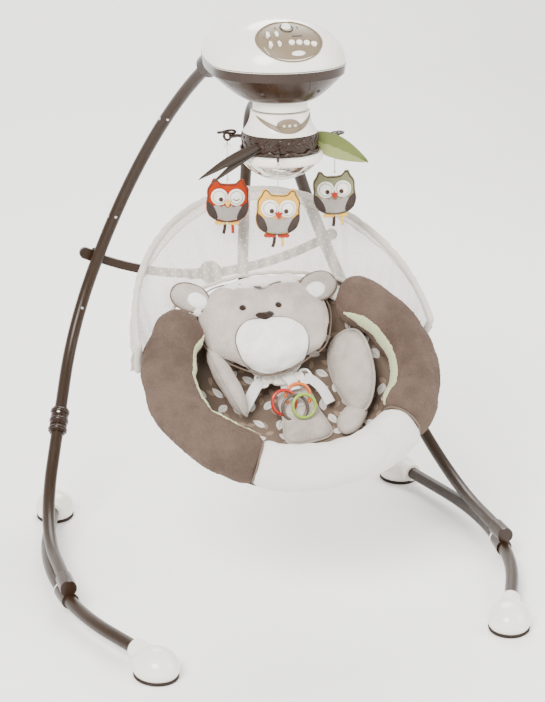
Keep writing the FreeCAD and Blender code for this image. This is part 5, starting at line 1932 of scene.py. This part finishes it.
def slung(name, corners, width, thick):
    """A harness strap through places in the seat drawing."""
    line = [seat_point(*corner) for corner in smooth_line([Vector(corner) for corner in corners], 60)]
    turned = SEAT_TURN.to_3x3() @ Vector((0.0, 0.0, 1.0))
    normals = []
    for i, _ in enumerate(line):
        along = (line[min(i + 1, len(line) - 1)] - line[max(i - 1, 0)]).normalized()
        normals.append((turned - along * turned.dot(along)).normalized())
    obj = strap(name, line, normals, width, thick, finish("webbing"))
    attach(obj, "seat")
    return obj


def harness():
    """Straps, the buckle's moulded detail and the tab that feeds it."""
    slung("shoulder_strap_left", ((-0.072, 0.060, -0.050), (-0.050, 0.036, -0.062), (-0.030, 0.028, -0.073)),
          0.020, 0.0018)
    slung("shoulder_strap_right", ((0.040, 0.056, -0.050), (0.024, 0.038, -0.064), (0.014, 0.030, -0.074)),
          0.020, 0.0018)
    slung("waist_strap_left", ((-0.040, 0.014, -0.066), (-0.054, 0.006, -0.062), (-0.074, -0.020, -0.066),
                               (-0.092, -0.044, -0.072)), 0.021, 0.0018)
    slung("waist_strap_right", ((0.040, 0.014, -0.066), (0.052, 0.006, -0.062), (0.068, -0.014, -0.064),
                                (0.080, -0.044, -0.070)), 0.021, 0.0018)
    slung("crotch_strap", ((0.004, 0.006, -0.074), (0.010, -0.020, -0.072), (0.014, -0.048, -0.063)), 0.024,
          0.0020)
    tab = slung("strap_tab", ((0.002, 0.020, -0.058), (0.010, 0.000, -0.052), (0.013, -0.018, -0.052)), 0.022,
                0.0026)
    tab.data.materials.clear()
    tab.data.materials.append(finish("cotton"))
    flat = Plane(-0.001, 0.017, -0.067, 10.0)
    parts = [cushion("housing", oval(0.0, 0.0, 0.0235, 0.0145, 60, 0.0, 3.4), flat, 0.0140, "cream_gloss", 10,
                     4.0)]
    parts.append(cushion("press", oval(0.0, 0.0, 0.0105, 0.0082, 40, 0.0, 2.6),
                         Plane(-0.001, 0.0183, -0.0596, 10.0), 0.0042,
                         "cream_satin", 8, 3.0))
    for side in (-1.0, 1.0):
        parts.append(cushion("wing", oval(side * 0.0300, 0.001, 0.0125, 0.0098, 48, 0.0, 3.0), flat, 0.0092,
                             "cream_gloss", 8,
                             4.0))
        for row in range(4):
            parts.append(cushion("grip", oval(side * 0.0190, -0.0066 + row * 0.0044, 0.0034, 0.0009, 20, 0.0,
                                              4.0),
                                 Plane(-0.001, 0.0182, -0.0604, 10.0), 0.0024, "cream_satin", 4, 3.0))
    detail = joined("buckle_body", parts)
    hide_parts("buckle")
    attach(detail, "seat")
    for name, side in (("left", -1.0), ("right", 1.0)):
        corner = []
        for x, y in ((0.034, 0.010), (0.034, 0.032), (0.048, 0.036), (0.055, 0.022), (0.048, 0.008)):
            corner.append(Vector((side * x - 0.001, y - 0.006, -0.064)))
        line = [seat_point(*point) for point in smooth_line(corner, 48, closed=True)]
        loop = tube("%s_strap_loop" % name, line, 0.0026, finish("cream_gloss"), 10, closed=True)
        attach(loop, "seat")


def label():
    """A plain sewn label on the head pad's left side, with nothing on it."""
    plane = Plane(-0.158, 0.098, -0.004, 10.0, -22.0, 10.0)
    outline = oval(0.0, 0.0, 0.0075, 0.0150, 32, 0.0, 8.0)
    obj = patch("side_label", outline, plane.at, 0.0012, finish("felt_red"), 4, 0.0010)
    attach(obj, "seat")


# ---------------------------------------------------------------- netting

NET_FROM = math.radians(-9.0)
NET_TO = math.radians(189.0)
NET_COLUMNS = 260
NET_ROWS = 26


def smooth_share(value, low, high):
    t = min(1.0, max(0.0, (value - low) / (high - low)))
    return t * t * (3.0 - 2.0 * t)


def hoop_place(angle):
    """The hoop's line: an arch, and below its ends the two brackets."""
    if 0.0 <= angle <= math.pi:
        return Vector((HOOP_HALF_X * math.cos(angle), HOOP_S + HOOP_HALF_S * math.sin(angle), HOOP_N))
    over = -angle if angle < 0.0 else angle - math.pi
    side = 1.0 if angle < 0.0 else -1.0
    down = over / math.radians(9.0)
    return Vector((side * (HOOP_HALF_X - 0.006 * down), HOOP_S - 0.006 * down, HOOP_N - 0.078 * down))


def net_foot(angle):
    """Where the netting ends: under the plush at the sides, behind the lining at the back."""
    side = abs(math.cos(angle)) if 0.0 <= angle <= math.pi else 1.0
    clipped = min(max(angle, 0.0), math.pi)
    back = Vector((0.252 * math.cos(clipped), HOOP_S + 0.163 * math.sin(clipped), -0.013))
    low = Vector((0.272 * math.cos(clipped), HOOP_S - 0.004 + 0.120 * math.sin(clipped), -0.052))
    return back.lerp(low, smooth_share(side, 0.72, 0.97))


def net_place(u, v):
    angle = NET_FROM + (NET_TO - NET_FROM) * u
    top = hoop_place(angle)
    foot = net_foot(angle)
    clipped = min(max(angle, 0.0), math.pi)
    out = Vector((math.cos(clipped), math.sin(clipped), 0.0))
    beside = smooth_share(abs(math.cos(clipped)), 0.60, 0.97)
    place = top.lerp(foot, v)
    place += out * (0.014 * beside * math.sin(math.pi * v))
    place.z += (0.012 * (1.0 - beside)) * math.sin(math.pi * v)
    folds = math.sin(angle * 46.0 + 3.0 * noise.noise(Vector((angle * 2.0, 0.0, 0.0)))) * (0.3 + 0.7 * v)
    loose = noise.noise(Vector((angle * 5.0, v * 2.0, 4.0)))
    swell = 0.0022 * folds * (1.0 - v * 0.4) + 0.006 * loose * math.sin(math.pi * v)
    place.z += swell * (1.0 - beside)
    place += out * (swell * beside)
    return place


def net_layout():
    """Distance along the hoop at each column."""
    walked = [0.0]
    before = hoop_place(NET_FROM)
    for i in range(1, NET_COLUMNS):
        here = hoop_place(NET_FROM + (NET_TO - NET_FROM) * i / (NET_COLUMNS - 1))
        walked.append(walked[-1] + (here - before).length)
        before = here
    return walked


def netting():
    """The sheer canopy from the hoop to the seat's back, its sleeve and its hem."""
    walked = net_layout()

    def layout(u, v):
        column = int(round(u * (NET_COLUMNS - 1)))
        angle = NET_FROM + (NET_TO - NET_FROM) * u
        return walked[column], v * (hoop_place(angle) - net_foot(angle)).length

    net = surface("canopy_netting", lambda u, v: seat_point(*net_place(u, v)), NET_COLUMNS, NET_ROWS,
                  finish("netting"),
                  layout=layout)
    turn_outward(net, SEAT_TURN.to_3x3() @ Vector((0.0, 0.0, 1.0)))
    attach(net, "seat")
    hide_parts("canopy_net")

    def hem_width(u):
        angle = NET_FROM + (NET_TO - NET_FROM) * u
        return min(0.55, 0.026 / max(0.03, (hoop_place(angle) - net_foot(angle)).length))

    hem = surface("canopy_hem", lambda u, v: seat_point(*net_place(u, v * hem_width(u)))
                  + SEAT_TURN.to_3x3() @ Vector((0.0, 0.0, 0.0016)), NET_COLUMNS, 4, finish("netting"),
                  layout=lambda u, v: (walked[int(round(u * (NET_COLUMNS - 1)))], v * 0.026))
    turn_outward(hem, SEAT_TURN.to_3x3() @ Vector((0.0, 0.0, 1.0)))
    sleeve_line = [seat_point(*hoop_place(NET_FROM + (NET_TO - NET_FROM) * i / 239)) for i in range(240)]
    sleeve = tube("canopy_sleeve", sleeve_line, 0.0066, finish("hem"), 12)
    ruffled(sleeve, 0.0016, 0.012, 71)
    seam_line = []
    for i in range(240):
        u = i / 239
        seam_line.append(seat_point(*net_place(u, hem_width(u))) + SEAT_TURN.to_3x3() @ Vector((0.0, 0.0,
                                                                                                0.0018)))
    seam = tube("canopy_seam", seam_line, 0.0009, finish("hem"), 6)
    edge_line = [seat_point(*net_place(i / 239, 1.0)) for i in range(240)]
    binding = tube("canopy_binding", edge_line, 0.0034, finish("hem"), 8)
    normals = [SEAT_TURN.to_3x3() @ Vector((0.0, 0.0, 1.0))] * 240
    spots = along_line([point + normal * 0.0006 for point, normal in zip(seam_line, normals)], normals,
                       sizes().stitch * 1.7)
    repeated("canopy_stitches", PATTERNS["stitch"], spots, sizes().stitch * 0.8, finish("thread_cream"),
             "seat")
    for obj in (hem, sleeve, seam, binding):
        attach(obj, "seat")


# ---------------------------------------------------------------- owls

class Card:
    """An upright plane facing the front: x to the right, y up, and lift towards the front."""

    def __init__(self, centre, turn=0.0, tilt=0.0):
        self.matrix = Matrix.Translation(centre) @ Matrix.Rotation(turn, 4, "Z") @ Matrix.Rotation(tilt, 4,
                                                                                                   "Y")

    def at(self, x, y, lift):
        return self.matrix @ Vector((x, -lift, y))


def laid_on(obj, plane):
    """A lay(x, y, lift) that follows a finished piece's front."""
    reach = 0.08
    skin = Skin(obj)

    def lay(x, y, lift):
        start = plane.at(x, y, reach)
        aim = plane.at(x, y, -reach)
        place, _ = skin.hit(start, (aim - start).normalized())
        if place is None:
            return plane.at(x, y, lift)
        return place + (start - aim).normalized() * lift

    return lay


OWL_OUTLINE = ((0.0, 0.0330), (-0.015, 0.0345), (-0.0225, 0.0420), (-0.0290, 0.0425), (-0.0335, 0.0330),
               (-0.0400, 0.0220),
               (-0.0400, 0.004), (-0.0415, -0.014), (-0.0350, -0.031), (-0.0180, -0.0415), (0.0, -0.0435),
               (0.0180, -0.0415), (0.0350, -0.031), (0.0415, -0.014), (0.0400, 0.004), (0.0400, 0.0220),
               (0.0335, 0.0330),
               (0.0290, 0.0425), (0.0225, 0.0420), (0.015, 0.0345))
OWLS = (
    # colour, cord length, where its twig is, beak, feet, ribbons, which eye is shut, turn, tilt
    ("yellow", 0.054, (-0.0358, -0.1103), "felt_red", "felt_red", ("felt_brown", "felt_yellow"), None, -8.0,
     3.0),
    ("red", 0.077, (-0.0776, 0.0862), "felt_yellow", "felt_yellow", ("felt_brown", "felt_red"), 1, -12.0,
     2.0),
    ("green", 0.060, (0.1135, 0.0241), "felt_red", "felt_yellow", ("felt_brown", "felt_yellow"), None, -16.0,
     -4.0),
)
LOOP_BOTTOM_Z = 0.8423


def owl(name, cord_length, twig, beak, feet, ribbons, shut, turn, tilt):
    """One plush owl with its sewn face, feet and ribbons, on its cord."""
    node = "owl_%s" % name
    low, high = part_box(node)
    centre = (low + high) / 2.0
    plane = Card(centre, math.radians(turn), math.radians(tilt))
    outline = closed_line(OWL_OUTLINE, 110)
    body = cushion("%s_plush" % node, outline, plane, 0.0165, node, 16, 2.4)
    ruffled(body, 0.0008, 0.010, 80)
    subdivided(body)
    ruffled(body, 0.0005, 0.0026, 81)
    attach(body, node)
    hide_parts(node)
    lay = laid_on(body, plane)
    flat = []
    zigzag = [(-0.0295, -0.0120), (-0.020, -0.0055), (-0.0135, -0.0125), (-0.0070, -0.0070), (0.0, -0.0130),
              (0.0070, -0.0070), (0.0135, -0.0125), (0.020, -0.0055), (0.0295, -0.0120), (0.0300, -0.0240),
              (0.0200, -0.0350), (0.0, -0.0395), (-0.0200, -0.0350), (-0.0300, -0.0240)]
    dense = []
    for k, corner in enumerate(zigzag):
        after = zigzag[(k + 1) % len(zigzag)]
        for share in (0.0, 0.25, 0.5, 0.75):
            dense.append(Vector(corner) + (Vector(after) - Vector(corner)) * share)
    flat.append(patch("belly", dense, lay, 0.0009, finish("owl_belly"), 8, 0.0004))
    for side in (-1.0, 1.0):
        wing = closed_line([(side * x, y) for x,
                            y in ((0.0385, -0.0020), (0.0285, -0.0080), (0.0215, -0.0190),
                                                       (0.0180, -0.0320), (0.0230, -0.0360),
                                                       (0.0330, -0.0295),
                                                       (0.0390, -0.0170))], 44)
        flat.append(patch("wing", wing, lay, 0.0017, finish("owl_wing"), 7, 0.0010))
        eye = oval(side * 0.0160, 0.0085, 0.0158, 0.0158, 48)
        flat.append(patch("eye", eye, lay, 0.0022, finish("owl_eye"), 8, 0.0014))
    face = joined("%s_face" % node, flat)
    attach(face, node)
    top = laid_on(face, plane)
    marks = []
    for index, side in enumerate((-1.0, 1.0)):
        ring = [top(side * 0.0160 + 0.0118 * math.cos(a), 0.0085 + 0.0118 * math.sin(a), 0.0003)
                for a in round_angles(40)]
        marks.append(tube("eye_ring", ring, 0.00045, finish("thread_brown"), 6, closed=True))
        if shut == index:
            wink = [top(side * 0.0160 - 0.0060 + 0.0120 * k / 14,
                        0.0060 - 0.0030 * math.sin(math.pi * k / 14), 0.0005)
                    for k in range(15)]
            marks.append(tube("wink", wink, 0.0008, finish("thread_brown"), 6))
        else:
            marks.append(patch("pupil", oval(side * 0.0130, 0.0045, 0.0042, 0.0044, 24), top, 0.0012,
                               finish("pupil"), 4,
                               0.0010))
    beak_line = closed_line(((0.0, 0.0020), (-0.0062, 0.0005), (0.0, -0.0100), (0.0062, 0.0005)), 28)
    front = max((plane.matrix.inverted() @ vertex.co).y * -1.0 for vertex in body.data.vertices)
    marks.append(patch("beak", beak_line, lambda x, y, lift: plane.at(x, y, front + lift), 0.0042,
                       finish(beak), 5, 0.0012))
    edge = []
    for corner in outline:
        edge.append(lay(corner.x * 0.925, corner.y * 0.925, 0.0004))
    marks.append(tube("edge_stitch", edge, 0.0011, finish("thread_brown"), 6, closed=True))
    sewn = joined("%s_marks" % node, marks)
    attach(sewn, node)
    below = []
    for side in (-1.0, 1.0):
        foot = closed_line([(side * 0.0125 + x, -0.0415 + y) for x, y in (
            (-0.0100, 0.0010), (-0.0105, -0.0040), (-0.0060, -0.0062), (-0.0030, -0.0050), (0.0, -0.0066),
            (0.0032, -0.0050),
            (0.0062, -0.0062), (0.0105, -0.0038), (0.0100, 0.0010), (0.0, 0.0035))], 50)
        below.append(cushion("foot", foot, plane, 0.0052, feet, 6, 2.2))
    for index, (x, reach) in enumerate(((-0.0040, 0.0255), (0.0085, 0.0240))):
        line = [plane.at(x + (x - 0.001) * 0.42 * t + 0.0012 * math.sin(t * 3.0), -0.0400 - reach * t,
                         -0.0020 + 0.0022 * math.sin(t * 3.4)) for t in [k / 18 for k in range(19)]]
        normals = [plane.at(0.0, 0.0, 1.0) - plane.at(0.0, 0.0, 0.0)] * 19
        below.append(strap("ribbon", line, normals, 0.0058, 0.0009, finish(ribbons[index])))
    tail = joined("%s_feet" % node, below)
    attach(tail, node)
    owl_cord(name, cord_length, twig)


def owl_cord(name, cord_length, twig):
    """The cord from a twig's loop to the top of its owl, and its two knots."""
    node = "owl_%s" % name
    start = Vector((twig[0], twig[1] - 0.0642435, LOOP_BOTTOM_Z))
    end = start - Vector((0.0, 0.0, cord_length))
    data = bpy.data.curves.new("%s_cord" % node, "CURVE")
    data.dimensions = "3D"
    data.bevel_depth = 0.0008
    data.bevel_resolution = 3
    data.resolution_u = 6
    data.use_fill_caps = True
    spline = data.splines.new("POLY")
    spline.points.add(11)
    for k in range(12):
        t = k / 11
        spline.points[k].co = (*(start.lerp(end, t)), 1.0)
    data.materials.append(finish("toy_cord"))
    obj = link(bpy.data.objects.new("%s_cord" % node, data))
    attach(obj, node)
    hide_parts("string_%s" % name)
    knots = []
    for place in (start - Vector((0.0, 0.0, 0.003)), end + Vector((0.0, 0.0, 0.004))):
        coil = []
        for k in range(40):
            t = k / 39
            turn = 4.0 * math.pi * t
            coil.append(place + Vector((0.0011 * math.cos(turn), 0.0011 * math.sin(turn),
                                        -0.0016 + 0.0032 * t)))
        knots.append(tube("knot", coil, 0.0008, finish("toy_cord"), 6))
    for side in (-1.0, 1.0):
        line = [start + Vector((side * (0.0008 + 0.0060 * t), -0.0006, -0.0045 - 0.0080 * t * t))
                for t in [k / 9 for k in range(10)]]
        knots.append(tube("tail", line, 0.0006, finish("toy_cord"), 6))
    tied = joined("%s_knots" % node, knots)
    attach(tied, node)


def owls():
    for facts in OWLS:
        owl(*facts)


# ---------------------------------------------------------------- stage

CAMERA_AT = (-0.97023, -3.39120, 1.61404)
CAMERA_AIM = Vector((-0.054, -0.20224, 0.5))
CAMERA_LENS = 98.67


def stage():
    """A pale floor that curves up into a backdrop, three soft lights and the camera."""
    points = []
    profile = [(-6.0, 0.0), (2.4, 0.0), (3.0, 0.06), (3.5, 0.28), (3.85, 0.70), (4.0, 1.3), (4.0, 6.5)]
    for x in (-7.0, 7.0):
        for y, z in profile:
            points.append((x, y, z - 0.0004))
    count = len(profile)
    faces = [(i, i + count, i + count + 1, i + 1) for i in range(count - 1)]
    made = Finish("paper", (0.93, 0.925, 0.915), 0.85, Specular_IOR_Level=0.1)
    grain = made.noise(0.02, 4.0)
    made.paint(made.blend(grain, (0.955, 0.953, 0.95), (0.975, 0.973, 0.97)))
    floor = mesh_piece("paper_sweep", points, faces, made.material)
    turn_outward(floor, Vector((0.0, 0.0, 1.0)))
    world = bpy.data.worlds.new("studio")
    bpy.context.scene.world = world
    world.use_nodes = True
    world.node_tree.nodes["Background"].inputs["Color"].default_value = (1.0, 0.985, 0.965, 1.0)
    world.node_tree.nodes["Background"].inputs["Strength"].default_value = 1.15
    for name, place, aim, size, energy in (
            ("key", (-2.2, -3.0, 3.6), (0.0, 0.0, 0.55), 2.4, 420.0),
            ("fill", (3.2, -2.2, 2.2), (0.0, 0.0, 0.5), 3.0, 120.0),
            ("rim", (0.8, 2.4, 3.2), (0.0, 0.0, 0.8), 2.2, 140.0)):
        lamp = bpy.data.lights.new(name, "AREA")
        lamp.shape = "DISK"
        lamp.size = size
        lamp.energy = energy
        lamp.color = (1.0, 0.975, 0.94)
        obj = link(bpy.data.objects.new(name, lamp))
        obj.location = place
        obj.rotation_euler = (Vector(aim) - Vector(place)).to_track_quat("-Z", "Y").to_euler()
    lens = bpy.data.cameras.new("view")
    lens.lens = CAMERA_LENS
    lens.sensor_width = 36.0
    lens.clip_end = 60.0
    camera = link(bpy.data.objects.new("view", lens))
    camera.location = CAMERA_AT
    camera.rotation_euler = (CAMERA_AIM - camera.location).to_track_quat("-Z", "Y").to_euler()
    bpy.context.scene.camera = camera


# ---------------------------------------------------------------- operators

class SWING_OT_finishes(bpy.types.Operator):
    """Make the finishes and the small patterns, and give every solid its own"""
    bl_idname = "swing.finishes"
    bl_label = "Finishes"

    def execute(self, context):
        make_finishes()
        make_patterns()
        dress_cad()
        return {"FINISHED"}


class SWING_OT_frame_trim(bpy.types.Operator):
    """Add the stand's soles, bumpers, rivets and screws"""
    bl_idname = "swing.frame_trim"
    bl_label = "Stand trim"

    def execute(self, context):
        frame_trim()
        return {"FINISHED"}


class SWING_OT_head_trim(bpy.types.Operator):
    """Add the housing's seam and screws, the panel's marks and the turret's swoosh"""
    bl_idname = "swing.head_trim"
    bl_label = "Head and panel trim"

    def execute(self, context):
        head_trim()
        panel_trim()
        turret_trim()
        return {"FINISHED"}


class SWING_OT_mobile_trim(bpy.types.Operator):
    """Add the mobile's embossed leaves, wavy edge and felt leaves"""
    bl_idname = "swing.mobile_trim"
    bl_label = "Mobile trim"

    def execute(self, context):
        mobile_trim()
        return {"FINISHED"}


class SWING_OT_owls(bpy.types.Operator):
    """Build the three plush owls and their cords"""
    bl_idname = "swing.owls"
    bl_label = "Owls"

    def execute(self, context):
        owls()
        return {"FINISHED"}


class SWING_OT_rolls(bpy.types.Operator):
    """Build the stuffed rolls round the seat and their trim"""
    bl_idname = "swing.rolls"
    bl_label = "Rolls"

    def execute(self, context):
        seat_rolls()
        return {"FINISHED"}


class SWING_OT_lining(bpy.types.Operator):
    """Build the printed lining and its padded back edge"""
    bl_idname = "swing.lining"
    bl_label = "Lining"

    def execute(self, context):
        seat_lining()
        return {"FINISHED"}


class SWING_OT_pads(bpy.types.Operator):
    """Build the bear head support, the body supports and the crotch pad"""
    bl_idname = "swing.pads"
    bl_label = "Pads"

    def execute(self, context):
        bear_pad()
        side_supports()
        crotch()
        return {"FINISHED"}


class SWING_OT_harness(bpy.types.Operator):
    """Build the harness straps, the buckle's detail and the plain label"""
    bl_idname = "swing.harness"
    bl_label = "Harness"

    def execute(self, context):
        harness()
        label()
        return {"FINISHED"}


class SWING_OT_netting(bpy.types.Operator):
    """Build the sheer canopy, its sleeve and its hem"""
    bl_idname = "swing.netting"
    bl_label = "Netting"

    def execute(self, context):
        netting()
        return {"FINISHED"}


class SWING_OT_stage(bpy.types.Operator):
    """Add the floor, the lights and the camera"""
    bl_idname = "swing.stage"
    bl_label = "Stage"

    def execute(self, context):
        stage()
        return {"FINISHED"}


OPERATORS = (SWING_OT_finishes, SWING_OT_frame_trim, SWING_OT_head_trim, SWING_OT_mobile_trim, SWING_OT_owls,
             SWING_OT_rolls, SWING_OT_lining, SWING_OT_pads, SWING_OT_harness, SWING_OT_netting,
             SWING_OT_stage)


class SWING_PT_panel(bpy.types.Panel):
    """Lists the swing's steps, colours and sizes"""
    bl_idname = "SWING_PT_panel"
    bl_label = "Cradle swing"
    bl_space_type = "VIEW_3D"
    bl_region_type = "UI"
    bl_category = "Swing"

    def draw(self, context):
        layout = self.layout
        for group in (context.scene.swing_colours, context.scene.swing_sizes):
            for name in type(group).__annotations__:
                layout.prop(group, name)
        for operator in OPERATORS:
            layout.operator(operator.bl_idname)


CLASSES = (SwingColours, SwingSizes) + OPERATORS + (SWING_PT_panel,)


def register():
    for item in CLASSES:
        bpy.utils.register_class(item)
    bpy.types.Scene.swing_colours = PointerProperty(type=SwingColours)
    bpy.types.Scene.swing_sizes = PointerProperty(type=SwingSizes)


def unregister():
    del bpy.types.Scene.swing_sizes
    del bpy.types.Scene.swing_colours
    for item in reversed(CLASSES):
        bpy.utils.unregister_class(item)


def main():
    register()
    for operator in OPERATORS:
        group, step = operator.bl_idname.split(".")
        getattr(getattr(bpy.ops, group), step)()


if __name__ == "__main__":
    main()
